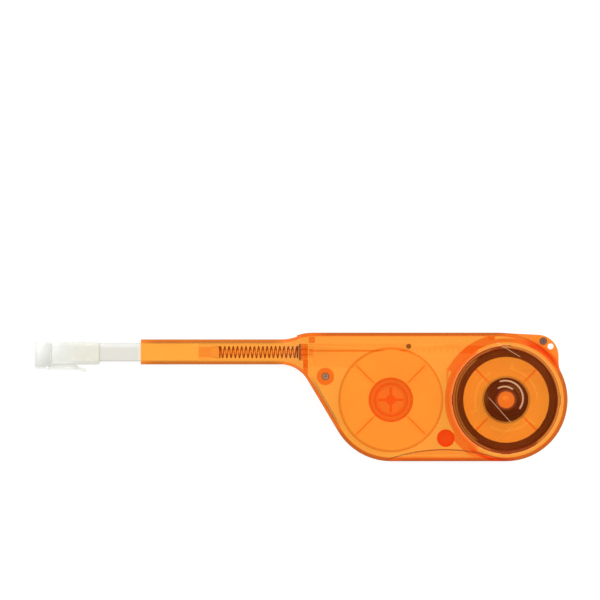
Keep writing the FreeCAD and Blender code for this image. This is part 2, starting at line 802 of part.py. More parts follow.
def return_spring():
    """Compression spring between the rod's neck and the seat plate, a coil of short straight lengths."""
    length = spring_rear_x - spring_front_x - 2 * wire_radius
    radius = spring_radius - wire_radius
    steps = spring_coils * spring_facets
    start_x = spring_front_x + wire_radius

    def point(i):
        angle = 2 * math.pi * i / spring_facets
        x = start_x + length * i / steps
        return Vector(x, nozzle_y + radius * math.cos(angle), seam + radius * math.sin(angle))

    coil = Part.makePolygon([point(i) for i in range(steps + 1)])
    r = wire_radius
    first = point(0)
    section = Part.Wire(Part.makePolygon([
        first + Vector(dx, dy, 0) for dx, dy in ((r, 0), (0, r), (-r, 0), (0, -r), (r, 0))
    ]))
    return coil.makePipeShell([section], True, False, 1)


def seat_plate():
    """Flat plate that the spring pushes on, slotted for both tapes."""
    half_y, half_z = seat_plate_height / 2, sleeve_depth / 2 - slide_fit
    x0, x1 = spring_rear_x, seat_x
    plate = box(x0, x1, nozzle_y - half_y, nozzle_y + half_y, seam - half_z, seam + half_z)
    hole = along(x0 - 1, rod_radius + slide_fit, seat_plate_thickness + 2)
    return plate.cut([hole] + tape_slots(x0 - 1, x1 + 1))


def nozzle_tip():
    """Insert in the sleeve's mouth that turns the tape round. Its cheeks touch the sleeve's sides."""
    under_tape = tape_thickness / 2 + press_fit
    inner = tape_spread - under_tape
    nose = nose_radius - under_tape
    back = sleeve_front_x + tip_back
    step = sleeve_front_x + tip_shoulder
    front = tip_x + nose_radius
    half_z = sleeve_depth / 2 - sleeve_wall
    half_tape = tape_width / 2
    wide = box(step, back, nozzle_y - inner, nozzle_y + inner, seam - half_z, seam + half_z)
    narrow = prism(
        [(front, nozzle_y - nose), (step, nozzle_y - inner), (step, nozzle_y + inner), (front, nozzle_y + nose)],
        seam - half_tape - free_gap, seam + half_tape + free_gap,
    )
    window = box(
        step + tip_window, back - tip_window, nozzle_y - inner / 2, nozzle_y + inner / 2,
        seam - half_z - 1, seam + half_z + 1,
    )
    return one([wide, narrow]).cut(window)


def tip_pad():
    """Soft bar at the very tip, under the tape."""
    front = tip_x + nose_radius - seat_gap
    nose = nose_radius - tape_thickness / 2 - press_fit
    bar = disc(front, nozzle_y, nose, seam - tape_width / 2, seam + tape_width / 2)
    return bar.common(box(tip_x - 1, front, 0, 2 * nozzle_y, 0, body_thickness))


def tip_tape():
    """Tape from the sleeve's rear over the tip and back."""
    shoulder = sleeve_front_x + tip_shoulder
    bend = tip_shoulder
    stops = [
        (sleeve_rear_x, nozzle_y + tape_spread, 0.0, 1),
        (shoulder, nozzle_y + tape_spread - bend, bend, 1),
        (tip_x + nose_radius, nozzle_y, nose_radius, 1),
        (shoulder, nozzle_y - tape_spread + bend, bend, 1),
        (sleeve_rear_x, nozzle_y - tape_spread, 0.0, 1),
    ]
    return ribbon(stops, tape_thickness, tape_low, tape_high)


def feed_tape():
    """Clean tape from the top of the supply roll to the nozzle sleeve."""
    radius = full_roll_radius + press_fit + tape_thickness / 2
    start = polar(radius, feed_angle, supply_x, 0.0)
    bend = seat_length
    stops = [
        (start[0], start[1], 0.0, 1),
        (supply_x, 0.0, radius, 1),
        (seat_x + seat_length, nozzle_y + tape_spread - bend, bend, 1),
        (sleeve_rear_x, nozzle_y + tape_spread, 0.0, 1),
    ]
    return ribbon(stops, tape_thickness, tape_low, tape_high)


def return_tape():
    """Used tape from the nozzle sleeve, under the supply reel and the guide rib, to the take-up hub."""
    lip = seat_length / 2
    hub = used_roll_radius + tape_thickness / 2 + slide_fit
    end = polar(hub, wind_angle)
    low_y = nozzle_y - tape_spread
    stops = [
        (sleeve_rear_x, low_y, 0.0, 1),
        (seat_x + seat_length, low_y - lip, lip, -1),
        (neck_boss[0], neck_boss[1], boss_radius + 2 * free_gap, 1),
        (supply_x, 0.0, chamber_radius - wall / 2, 1),
        (*gate_lip(), 1),
        (0.0, 0.0, hub, 1),
        (end[0], end[1], 0.0, 1),
    ]
    return ribbon(stops, tape_thickness, tape_low, tape_high)


def guide_cap():
    """Translucent cap that slides on the sleeve. Its front socket guides the tip to the connector."""
    half_z = cap_depth / 2
    body = box(cap_step_x, cap_rear_x, cap_low_y, cap_high_y, seam - half_z, seam + half_z)
    body = body.makeFillet(cap_corner, [e for e in body.Edges if e.BoundBox.XLength > 1])
    low = cap_low_y + cap_low_step
    high = cap_high_y - cap_step
    front = box(cap_front_x, cap_step_x + 1, low, high, seam - half_z + cap_step, seam + half_z - cap_step)
    front = front.makeChamfer(socket_wall / 2, [e for e in front.Edges if e.BoundBox.XMax < cap_front_x + 0.01])
    bore = box(
        tip_x - slide_fit, cap_rear_x + 1,
        nozzle_y - bore_half_y, nozzle_y + bore_half_y, seam - bore_half_z, seam + bore_half_z,
    )
    socket = box(
        cap_front_x - 1, tip_x, low + socket_wall, high - socket_wall,
        seam - half_z + cap_step + socket_wall, seam + half_z - cap_step - socket_wall,
    )
    arm_low, arm_high = hinge_y - hinge_radius, hinge_y + arm_above
    z0, z1 = seam - arm_width / 2, seam + arm_width / 2
    arm = box(hinge_x, arm_end_x, arm_low, arm_high, z0, z1)
    tail = prism(
        [
            (arm_end_x, arm_high), (arm_end_x, arm_low),
            (tail_end_x, arm_low - tail_drop), (tail_end_x, arm_high - 1.4 * tail_drop),
        ],
        seam - tail_width / 2, seam + tail_width / 2,
    )
    knuckle = disc(hinge_x, hinge_y, hinge_radius, z0, z1)
    web = box(hinge_x + hinge_radius, cap_step_x + hinge_back, hinge_y, low + slide_fit, z0, z1)
    pin_hole = disc(hinge_x, hinge_y, hinge_pin_radius + press_fit, 0, body_thickness)
    outside = one([body, front, arm, tail, knuckle, web])
    return outside.cut([bore, socket, pin_hole])


def dust_lid():
    """Box-shaped lid over the cap's mouth. It swings down on a pin below the mouth."""
    half_z = cap_depth / 2
    gap = 1.5 * slide_fit
    cheek_end = cap_front_x + lid_overlap
    low = hinge_y + free_gap
    side_gap = half_z - cap_step + gap
    shell = box(lid_front_x, cheek_end, low, cap_high_y, seam - half_z, seam + half_z)
    top_edges = [e for e in shell.Edges if e.BoundBox.XLength > 1 and e.BoundBox.YMin > low + 1]
    shell = shell.makeFillet(cap_step - free_gap, top_edges)
    hollow = box(
        lid_front_x + lid_plate, cheek_end + 1, low - 1, cap_high_y - cap_step + free_gap,
        seam - side_gap, seam + side_gap,
    )
    half_arm = arm_width / 2 + gap
    knuckles = []
    for side in (1, -1):
        z0, z1 = sorted((seam + side * half_arm, seam + side * (half_arm + knuckle_width)))
        half_strap = lid_plate / 2
        strap = box(lid_front_x + half_strap, hinge_x, hinge_y - half_strap, hinge_y + half_strap, z0, z1)
        knuckles += [strap, disc(hinge_x, hinge_y, hinge_radius, z0, z1)]
    lip_low = low - lid_lip + free_gap
    lip = prism(
        [
            (lid_front_x, low + lid_plate), (lid_front_x, low - lid_plate / 2), (lid_front_x + free_gap, lip_low),
            (lid_front_x + lid_plate, lip_low), (lid_front_x + lid_plate, low + lid_plate),
        ],
        seam - lid_lip_width / 2, seam + lid_lip_width / 2,
    )
    whole = one([shell.cut(hollow), lip] + knuckles)
    return whole.cut(disc(hinge_x, hinge_y, hinge_pin_radius + running_fit, 0, body_thickness))


def lid_pin():
    reach = arm_width / 2 + knuckle_width + free_gap
    return disc(hinge_x, hinge_y, hinge_pin_radius, seam - reach, seam + reach)


def save(name, shape):
    """Moves a piece so that the origin is under the middle of the pen, and writes it."""
    middle_x = (lid_front_x + end_radius) / 2
    middle_y = (top_y - end_radius) / 2
    moved = shape.translated(Vector(-middle_x, -middle_y, 0))
    moved.exportStep(f"parts/{name}.step")


def main():
    os.makedirs("parts", exist_ok=True)
    outer, shell = housing_shell()
    ear_top = seam + ear_thickness / 2
    save("lower_shell", lower_shell(outer, shell))
    save("upper_shell", upper_shell(outer, shell))
    save("neck_screw", screw(*neck_boss, body_thickness - counterbore, neck_screw_length))
    corner_head = ear_top - counterbore + screw_head_height + seat_gap
    save("corner_screw", screw(*corner_boss, corner_head, corner_screw_length))
    save("anti_reverse_ring", anti_reverse_ring())
    save("return_spring", return_spring())
    save("seat_plate", seat_plate())
    supply_sleeve_radius = supply_sleeve_inner + supply_sleeve_wall
    supply = (supply_bore, supply_sleeve_inner, supply_sleeve_radius, flange_low)
    save("supply_reel", reel(supply_x, *supply))
    save("supply_flange", top_flange(supply_x, flange_radius - wall))
    save("supply_tape", tape_roll(supply_x, full_roll_radius))
    save("drive_gear", drive_gear())
    take_up = (take_up_bore, take_up_bore, take_up_sleeve_radius, gear_high + slide_fit)
    save("take_up_reel", reel(0, *take_up))
    save("take_up_flange", take_up_flange())
    save("clutch_hub", clutch_hub())
    save("used_tape", tape_roll(0, used_roll_radius))
    save("nozzle_sleeve", nozzle_sleeve())
    save("nozzle_tip", nozzle_tip())
    save("tip_pad", tip_pad())
    save("tip_tape", tip_tape())
    save("slide_rod", slide_rod())
    save("slide_plate", slide_plate())
    pin_top = gear_low + plate_thickness + plate_step
    save("stop_pin", disc(stop_pin_x, stop_pin_y, stop_pin_radius, floor - track_depth + slide_fit, pin_top))
    save("feed_tape", feed_tape())
    save("return_tape", return_tape())
    save("guide_cap", guide_cap())
    save("dust_lid", dust_lid())
    save("lid_pin", lid_pin())


main()
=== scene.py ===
import math

import bmesh
import bpy
from mathutils import Matrix, Vector


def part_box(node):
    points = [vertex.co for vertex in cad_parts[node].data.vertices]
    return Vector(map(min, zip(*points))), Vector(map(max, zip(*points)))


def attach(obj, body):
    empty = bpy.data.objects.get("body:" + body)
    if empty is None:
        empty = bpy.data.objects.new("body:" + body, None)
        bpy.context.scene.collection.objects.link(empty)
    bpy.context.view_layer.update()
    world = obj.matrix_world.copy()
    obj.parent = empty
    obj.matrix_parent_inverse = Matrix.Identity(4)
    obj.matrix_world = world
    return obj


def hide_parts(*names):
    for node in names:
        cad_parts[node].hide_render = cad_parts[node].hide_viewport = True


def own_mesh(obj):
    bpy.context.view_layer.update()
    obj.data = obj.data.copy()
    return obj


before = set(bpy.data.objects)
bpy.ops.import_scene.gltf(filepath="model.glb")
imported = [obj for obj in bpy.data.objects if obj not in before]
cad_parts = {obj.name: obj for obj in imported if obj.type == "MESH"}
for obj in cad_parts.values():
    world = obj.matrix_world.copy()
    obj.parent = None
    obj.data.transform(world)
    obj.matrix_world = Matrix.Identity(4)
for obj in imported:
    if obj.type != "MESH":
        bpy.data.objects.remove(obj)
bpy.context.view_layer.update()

# ---------------------------------------------------------------------------------------------
# White table. The pen lies flat on a matt white sheet in a white room. A wide lamp stands over
# its right side and a weaker one over its left, and the camera looks straight down.
SHEET_HALF = 3.0
SHEET_GAP = 0.0002
SHEET_GLOW = 0.86
SHEET_GREY = (0.8, 0.8, 0.8, 1)
SHADOW_GREY = (0.25, 0.25, 0.25, 1)
WHITE = (1, 1, 1, 1)
ROOM_LIGHT = 0.50
VIEW_WIDTH = 0.2393
VIEW_CENTRE = (-0.00048, 0.03865)
VIEW_HEIGHT = 1.0
VIEW_REACH = 10.0
CLEAR_LAYERS = 48

scene = bpy.context.scene
scene.view_settings.view_transform = "Standard"
scene.cycles.transparent_max_bounces = CLEAR_LAYERS

overhead = bpy.data.cameras.new("overhead_camera")
overhead.type = "ORTHO"
overhead.ortho_scale = VIEW_WIDTH
overhead.clip_end = VIEW_REACH
scene.camera = bpy.data.objects.new("overhead_camera", overhead)
scene.camera.location = (*VIEW_CENTRE, VIEW_HEIGHT)
scene.collection.objects.link(scene.camera)


def feed(tree, socket, value):
    """Links another node's output to an input, or sets a number or a colour there."""
    if isinstance(value, bpy.types.NodeSocket):
        tree.links.new(value, socket)
    else:
        socket.default_value = value


def fit(tree, kind, **values):
    """Puts a node in. An input is named with _ for a space, and any other name is a setting."""
    node = tree.nodes.new(kind)
    for key, value in values.items():
        socket = node.inputs.get(key.replace("_", " "))
        if socket is None:
            setattr(node, key, value)
        else:
            feed(tree, socket, value)
    return node


def figure(tree, operation, *numbers):
    """One step of arithmetic, from numbers or other nodes' outputs."""
    node = fit(tree, "ShaderNodeMath", operation=operation)
    for socket, value in zip(node.inputs, numbers):
        feed(tree, socket, value)
    return node.outputs[0]


def cross_fade(tree, share, first, second):
    """Goes from one shader to another."""
    node = tree.nodes.new("ShaderNodeMixShader")
    for socket, value in zip(node.inputs, (share, first, second)):
        feed(tree, socket, value)
    return node.outputs[0]


def seen_by_eye(tree):
    """1 for what is seen straight, through clear plastic or in a reflection, 0 for light on the pen."""
    path = tree.nodes.new("ShaderNodeLightPath").outputs
    direct = figure(tree, "ADD", path["Is Camera Ray"], path["Is Glossy Ray"])
    return figure(tree, "MINIMUM", figure(tree, "ADD", direct, path["Is Transmission Ray"]), 1.0)


def new_finish(name):
    finish = bpy.data.materials.new(name)
    finish.use_nodes = True
    finish.node_tree.nodes.clear()
    return finish, finish.node_tree


white_room = bpy.data.worlds.new("white_room")
scene.world = white_room
white_room.use_nodes = True
tree = white_room.node_tree
tree.nodes.clear()
shown = fit(tree, "ShaderNodeBackground", Color=WHITE, Strength=1.0).outputs[0]
lighting = fit(tree, "ShaderNodeBackground", Color=WHITE, Strength=ROOM_LIGHT).outputs[0]
fit(tree, "ShaderNodeOutputWorld", Surface=cross_fade(tree, seen_by_eye(tree), lighting, shown))

sheet_finish, tree = new_finish("white_sheet")
glow = fit(tree, "ShaderNodeEmission", Color=WHITE, Strength=SHEET_GLOW).outputs[0]
shadow_part = fit(tree, "ShaderNodeBsdfDiffuse", Color=SHADOW_GREY).outputs[0]
bright = tree.nodes.new("ShaderNodeAddShader")
tree.links.new(glow, bright.inputs[0])
tree.links.new(shadow_part, bright.inputs[1])
plain = fit(tree, "ShaderNodeBsdfDiffuse", Color=SHEET_GREY).outputs[0]
fit(tree, "ShaderNodeOutputMaterial", Surface=cross_fade(tree, seen_by_eye(tree), plain, bright.outputs[0]))


def finish_piece(name, work, finish):
    """Turns a bmesh into a smooth-shaded piece with one finish."""
    mesh = bpy.data.meshes.new(name)
    for face in work.faces:
        face.smooth = True
    work.to_mesh(mesh)
    work.free()
    mesh.materials.append(finish)
    piece = bpy.data.objects.new(name, mesh)
    scene.collection.objects.link(piece)
    return piece


work = bmesh.new()
bmesh.ops.create_grid(work, x_segments=1, y_segments=1, size=SHEET_HALF)
bmesh.ops.translate(work, verts=work.verts, vec=(0, 0, -SHEET_GAP))
finish_piece("white_sheet", work, sheet_finish)


def soft_lamp(name, place, size, power):
    """A round lamp that points at the middle of the pen."""
    light = bpy.data.lights.new(name, "AREA")
    light.shape = "DISK"
    light.size = size
    light.energy = power
    lamp = bpy.data.objects.new(name, light)
    lamp.location = place
    lamp.rotation_mode = "QUATERNION"
    lamp.rotation_quaternion = (-Vector(place)).to_track_quat("-Z", "Y")
    lamp.visible_camera = False
    scene.collection.objects.link(lamp)


soft_lamp("right_lamp", (0.50, 0.35, 1.68), 1.0, 20.5)
soft_lamp("left_lamp", (-1.00, 0.10, 1.30), 0.6, 6.0)

# ---------------------------------------------------------------------------------------------
# Housing: two half shells of clear orange polycarbonate, moulded with their bosses, walls and
# posts, and screwed together. Thick places are redder, and upright walls carry painted shade. The
# axle's dome has a painted highlight, and the upper shell has a shallow round window over the take-up
# reel, with painted highlights on its lip and over the hub, and two hair scratches from use.
SHELL_LOOK = {
    "tint": (1.0, 0.836, 0.518, 1), "deep": (1.0, 0.40, 0.15, 1), "edge": (0.50, 0.53, 0.56, 1),
    "body": (1.0, 0.10, 0.003, 1), "near_face": 0.078, "depth_colour": (0.94, 0.40, 0.05, 1), "depth": 80.0,
}
# Pale orange for the painted highlights and for the scratches
HIGHLIGHT_AND_SCRATCH_ORANGE = (1.0, 0.72, 0.42, 1)
HIGHLIGHT_AND_SCRATCH_COVER = 0.75
EDGE_SHINE = 0.88
SHINE_FALL = 5.0
EDGE_FACING = (0.25, 0.90)
PLASTIC_IOR = 1.49
CLOUD_LEAST, CLOUD_SWING, RUB_HAZE = 0.8, 0.4, 0.05
PEG_SHARE, POST_SHARE, RIB_SHARE = 0.50, 0.60, 0.18


def axis_of(node):
    """The upright axis of a round node at the table's height, to a thousandth of a millimetre."""
    low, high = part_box(node)
    return (round((low[0] + high[0]) / 2, 6), round((low[1] + high[1]) / 2, 6), 0.0)


def beside(axis, x, y):
    return (axis[0] + x, axis[1] + y, 0.0)


SUPPLY_AXIS, TAKE_UP_AXIS = axis_of("supply_reel"), axis_of("take_up_reel")
PEG_BOSS = beside(TAKE_UP_AXIS, -0.0241, -0.0153)
PEG_BOSS_RADIUS = 0.0035
RIB_CENTRE = beside(TAKE_UP_AXIS, -0.02444, -0.08778)
RIB_RADIUS = 0.0679
POST_RADIUS = 0.0089
DOME_RADIUS, DOME_EDGE = 0.0038, 0.0007
# Radius, width, direction and half angle in degrees, and strength
CHAMBER_WALL = (
    (0.0224, 0.0012, 180, 60, 0.34), (0.0246, 0.0017, 51, 20, 0.60), (0.0242, 0.0011, 256, 22, 0.60),
)
# Painted shade: upright walls and sides take the darker edge tint, as they look from above
WALL_WIDTH, WALL_SHARE = 0.0011, 0.22
STRAIGHT_WALLS = (
    ((-0.0640, 0.0219), (-0.0060, 0.0219)), ((-0.0640, 0.0136), (-0.0060, 0.0136)),
    ((0.0050, 0.0252), (0.0830, 0.0252)), ((0.0036, 0.0082), (0.0160, -0.0128)),
    ((0.0360, -0.0254), (0.0800, -0.0254)),
)
ROUND_WALLS = ((TAKE_UP_AXIS, 0.0238, WALL_WIDTH, -35, 65), (SUPPLY_AXIS, 0.0238, WALL_WIDTH, 240, 32))
UPRIGHT_SIDES = ((TAKE_UP_AXIS, DOME_RADIUS, DOME_EDGE, 0.65), (RIB_CENTRE, RIB_RADIUS, 0.00035, 0.40))
# Painted highlights along the window's two steps, with radius, width and strength, and the scratches' ends
WINDOW_LIP_HIGHLIGHTS = ((0.0219, 0.00022, 0.45), (0.0209, 0.00018, 0.28))
SCRATCHES = (((0.07755, 0.02197), (0.08783, 0.01565)), ((0.07439, 0.00021), (0.08387, -0.01047)))
SCRATCH_WIDTH, SCRATCH_SHARE = 0.00017, 0.75
# Painted highlight for the lamp's reflection over the hub, in the window: shift from the axis, radius,
# width, direction and half angle
WINDOW_PAINTED_HIGHLIGHT = (
    ((-0.00035, 0.00060), 0.00704, 0.00062, 36, 74), ((-0.00060, 0.00039), 0.00492, 0.00060, 86, 40),
)
WINDOW_HIGHLIGHT_SHARE = 0.70
# Painted highlight on the take-up axle's dome
DOME_HIGHLIGHT_SHIFT = (-0.0006, 0.0007)
DOME_HIGHLIGHT_SHARE = 0.80


def new_effect(name, takes, gives):
    """A shared effect: a node group with the named numbers in and the named masks or heights out."""
    effect = bpy.data.node_groups.new(name, "ShaderNodeTree")
    for key, (kind, value) in takes.items():
        socket = effect.interface.new_socket(key, in_out="INPUT", socket_type=kind)
        socket.default_value = value
    for key in gives:
        effect.interface.new_socket(key, in_out="OUTPUT", socket_type="NodeSocketFloat")
    return effect, effect.nodes.new("NodeGroupInput").outputs, effect.nodes.new("NodeGroupOutput").inputs


def use_effect(tree, effect, **values):
    node = tree.nodes.new("ShaderNodeGroup")
    node.node_tree = effect
    for key, value in values.items():
        feed(tree, node.inputs[key.replace("_", " ")], value)
    return node.outputs


def place_on_piece(tree):
    return tree.nodes.new("ShaderNodeTexCoord").outputs["Object"]


def ramp(tree, value, low, high):
    """0 below the low number, 1 above the high one, and smooth between."""
    return fit(
        tree, "ShaderNodeMapRange", interpolation_type="SMOOTHSTEP", Value=value, From_Min=low, From_Max=high
    ).outputs[0]


def opposite(tree, mask):
    return figure(tree, "SUBTRACT", 1.0, mask)


def vector_step(tree, operation, *vectors):
    """One step of arithmetic on vectors, which gives a vector or a number."""
    node = fit(tree, "ShaderNodeVectorMath", operation=operation)
    for socket, value in zip(node.inputs, vectors):
        feed(tree, socket, value)
    return node.outputs["Value" if operation in ("LENGTH", "DOT_PRODUCT") else "Vector"]


def level_offset(tree, centre):
    """The level way to a point from an upright axis."""
    offset = vector_step(tree, "SUBTRACT", place_on_piece(tree), centre)
    return vector_step(tree, "MULTIPLY", offset, (1.0, 1.0, 0.0))


def noise(tree, place, scale, detail):
    return fit(tree, "ShaderNodeTexNoise", Vector=place, Scale=scale, Detail=detail).outputs["Fac"]


# Marks of moulding: slow flow clouds, a fine tool grain, and sparse rub marks in two directions
FLOAT, VECTOR = "NodeSocketFloat", "NodeSocketVector"
RUB_DIRECTIONS = (0.5, -0.9)
RUB_STRETCH = (1.0, 22.0, 1.0)
RUB_RANGE, CLOUD_RANGE = (0.66, 0.76), (0.3, 0.7)
moulding, given, result = new_effect(
    "moulding_marks",
    {"Flow Scale": (FLOAT, 55.0), "Grain Scale": (FLOAT, 1800.0), "Rub Scale": (FLOAT, 60.0)},
    ("Cloud", "Grain", "Rub"),
)
here = place_on_piece(moulding)
rubs = []
for turn in RUB_DIRECTIONS:
    stretched = fit(
        moulding, "ShaderNodeMapping", Vector=here, Rotation=(0.0, 0.0, turn), Scale=RUB_STRETCH
    ).outputs[0]
    rubs.append(ramp(moulding, noise(moulding, stretched, given["Rub Scale"], 2.0), *RUB_RANGE))
cloud = noise(moulding, here, given["Flow Scale"], 3.0)
moulding.links.new(ramp(moulding, cloud, *CLOUD_RANGE), result["Cloud"])
moulding.links.new(noise(moulding, here, given["Grain Scale"], 2.0), result["Grain"])
moulding.links.new(figure(moulding, "MAXIMUM", *rubs), result["Rub"])

# A round zone about an upright axis, and a ring along its edge
round_zone, given, result = new_effect(
    "round_zone", {"Centre": (VECTOR, (0, 0, 0)), "Radius": (FLOAT, 0.01), "Edge": (FLOAT, 0.0003)},
    ("Inside", "On Edge"),
)
reach = vector_step(round_zone, "LENGTH", level_offset(round_zone, given["Centre"]))
past = figure(round_zone, "DIVIDE", figure(round_zone, "SUBTRACT", reach, given["Radius"]), given["Edge"])
off_edge = ramp(round_zone, figure(round_zone, "ABSOLUTE", past), 0.2, 1.0)
round_zone.links.new(opposite(round_zone, ramp(round_zone, past, -0.5, 0.5)), result["Inside"])
round_zone.links.new(opposite(round_zone, off_edge), result["On Edge"])

# Part of a ring, on the side of the axis that a direction points to
arc_mark, given, result = new_effect(
    "arc_mark",
    {
        "Centre": (VECTOR, (0, 0, 0)), "Radius": (FLOAT, 0.01), "Edge": (FLOAT, 0.0003),
        "Toward": (VECTOR, (1, 0, 0)), "Least Cosine": (FLOAT, 0.5),
    },
    ("Mark",),
)
zone = use_effect(arc_mark, round_zone, Centre=given["Centre"], Radius=given["Radius"], Edge=given["Edge"])
unit = vector_step(arc_mark, "NORMALIZE", level_offset(arc_mark, given["Centre"]))
cosine = vector_step(arc_mark, "DOT_PRODUCT", unit, given["Toward"])
ahead = figure(arc_mark, "SUBTRACT", cosine, given["Least Cosine"])
part = figure(arc_mark, "MULTIPLY", ramp(arc_mark, ahead, -0.04, 0.08), zone["On Edge"])
arc_mark.links.new(part, result["Mark"])

# A hair scratch between two points seen from above
scratch, given, result = new_effect(
    "hair_scratch",
    {
        "Start": (VECTOR, (0, 0, 0)), "Along": (VECTOR, (1, 0, 0)), "Length": (FLOAT, 0.01),
        "Width": (FLOAT, 0.0002),
    },
    ("Mark",),
)
offset = vector_step(scratch, "SUBTRACT", place_on_piece(scratch), given["Start"])
distance = vector_step(scratch, "DOT_PRODUCT", offset, given["Along"])
side = vector_step(scratch, "CROSS_PRODUCT", offset, given["Along"])
sideways = fit(scratch, "ShaderNodeSeparateXYZ", Vector=side).outputs["Z"]
away = figure(scratch, "DIVIDE", figure(scratch, "ABSOLUTE", sideways), given["Width"])
middle = figure(scratch, "MULTIPLY", given["Length"], 0.5)
from_middle = figure(scratch, "ABSOLUTE", figure(scratch, "SUBTRACT", distance, middle))
past_end = figure(scratch, "DIVIDE", figure(scratch, "SUBTRACT", from_middle, middle), given["Width"])
line = opposite(scratch, ramp(scratch, away, 0.3, 1.0))
ends = opposite(scratch, ramp(scratch, past_end, -6.0, 1.0))
scratch.links.new(figure(scratch, "MULTIPLY", line, ends), result["Mark"])


def disc(tree, centre, radius, edge):
    return use_effect(tree, round_zone, Centre=centre, Radius=radius, Edge=edge)["Inside"]


def ring(tree, centre, radius, width):
    return use_effect(tree, round_zone, Centre=centre, Radius=radius, Edge=width)["On Edge"]


def arc(tree, centre, radius, width, angle, half_angle):
    """Part of a ring, about a direction, with its angles in degrees."""
    toward = (math.cos(math.radians(angle)), math.sin(math.radians(angle)), 0.0)
    return use_effect(
        tree, arc_mark, Centre=centre, Radius=radius, Edge=width, Toward=toward,
        Least_Cosine=math.cos(math.radians(half_angle)),
    )["Mark"]


def straight(tree, start, end, width):
    """A straight mark between two places seen from above."""
    run = Vector(end) - Vector(start)
    return use_effect(
        tree, scratch, Start=(*start, 0.0), Along=(*run.normalized(), 0.0), Length=run.length, Width=width
    )["Mark"]


def greatest(tree, *masks):
    """The strongest of some masks, each with its strength."""
    whole = 0.0
    for mask, strength in masks:
        whole = figure(tree, "MAXIMUM", whole, figure(tree, "MULTIPLY", mask, strength))
    return whole


def colour_blend(tree, share, first, second):
    node = fit(tree, "ShaderNodeMix", data_type="RGBA")
    for key, value in (("Factor", share), ("A", first), ("B", second)):
        feed(tree, next(s for s in node.inputs if s.name == key and s.enabled), value)
    return next(s for s in node.outputs if s.enabled)


def relief(tree, height, strength, depth):
    """Fine relief from a mask of heights."""
    return fit(tree, "ShaderNodeBump", Strength=strength, Distance=depth, Height=height).outputs[0]


def clear_plastic(name, look, deep_share=None, pale=None, wall=None):
    """Clear moulded plastic: tinted see-through faces, a thin cloudy share of its own colour, gloss at
    rounded edges, which also look deeper, and a deeper colour through thick walls. The three last
    arguments build masks for thick places, for painted highlights and scratches, and for painted shade
    on upright outer walls."""
    finish, tree = new_finish(name)
    marks = use_effect(tree, moulding)
    facing = fit(tree, "ShaderNodeLayerWeight", Blend=0.5).outputs["Facing"]
    shine = figure(tree, "MULTIPLY", figure(tree, "POWER", facing, SHINE_FALL), EDGE_SHINE)
    own, near = look["body"], look["near_face"]
    cloudy = figure(tree, "MULTIPLY_ADD", marks["Cloud"], CLOUD_SWING * near, CLOUD_LEAST * near)
    cloudy = figure(tree, "MULTIPLY_ADD", marks["Rub"], RUB_HAZE, cloudy)
    # Painted highlights and scratches: pale orange that partly covers the see-through faces
    if pale:
        mark = pale(tree)
        cloudy = figure(tree, "MAXIMUM", cloudy, figure(tree, "MULTIPLY", mark, HIGHLIGHT_AND_SCRATCH_COVER))
        own = colour_blend(tree, mark, own, HIGHLIGHT_AND_SCRATCH_ORANGE)
    back = tree.nodes.new("ShaderNodeNewGeometry").outputs["Backfacing"]
    cover = figure(tree, "MULTIPLY", figure(tree, "MAXIMUM", shine, cloudy), opposite(tree, back))
    surface = fit(
        tree, "ShaderNodeBsdfPrincipled", Base_Color=own, IOR=PLASTIC_IOR, Specular_IOR_Level=0.35,
        Roughness=figure(tree, "MULTIPLY_ADD", marks["Rub"], 0.25, 0.12),
        Normal=relief(tree, marks["Grain"], 0.15, 0.00004),
    ).outputs[0]
    shade = deep_share(tree) if deep_share else figure(tree, "MULTIPLY", marks["Cloud"], 0.06)
    edge_share = ramp(tree, facing, *EDGE_FACING)
    # Painted shade on upright walls, with the same darker edge tint
    if wall:
        edge_share = figure(tree, "MAXIMUM", edge_share, wall(tree))
    tint = colour_blend(tree, shade, look["tint"], look["deep"])
    tint = colour_blend(tree, edge_share, tint, look["edge"])
    window = fit(tree, "ShaderNodeBsdfTransparent", Color=tint).outputs[0]
    inside = fit(
        tree, "ShaderNodeVolumeAbsorption", Color=look["depth_colour"], Density=look["depth"]
    ).outputs[0]
    fit(tree, "ShaderNodeOutputMaterial", Surface=cross_fade(tree, cover, window, surface), Volume=inside)
    return finish


def thick_upper(tree):
    """Mask of the thick places of both shells: the peg's boss, and the chamber's wall where it faces the
    supply reel, the ear and the guide rib's end."""
    walls = [(arc(tree, TAKE_UP_AXIS, *place), strength) for *place, strength in CHAMBER_WALL]
    return greatest(tree, (disc(tree, PEG_BOSS, PEG_BOSS_RADIUS, 0.0003), PEG_SHARE), *walls)


def thick_lower(tree):
    """The same, with the supply post's foot, the floor under the guide rib and the axle dome's edge."""
    return greatest(
        tree, (thick_upper(tree), 1.0), (ring(tree, TAKE_UP_AXIS, DOME_RADIUS, DOME_EDGE), 1.0),
        (disc(tree, SUPPLY_AXIS, POST_RADIUS, 0.0004), POST_SHARE),
        (disc(tree, RIB_CENTRE, RIB_RADIUS, 0.0005), RIB_SHARE),
    )


def upright_wall_shade(tree):
    """Mask of painted shade on the upright outer walls, which are seen down their whole height, and on
    the sides of the take-up axle's dome and of the tape's guide rib."""
    lines = [(straight(tree, *ends, WALL_WIDTH), WALL_SHARE) for ends in STRAIGHT_WALLS]
    bends = [(arc(tree, *place), WALL_SHARE) for place in ROUND_WALLS]
    sides = [(ring(tree, *place), strength) for *place, strength in UPRIGHT_SIDES]
    return greatest(tree, *lines, *bends, *sides)


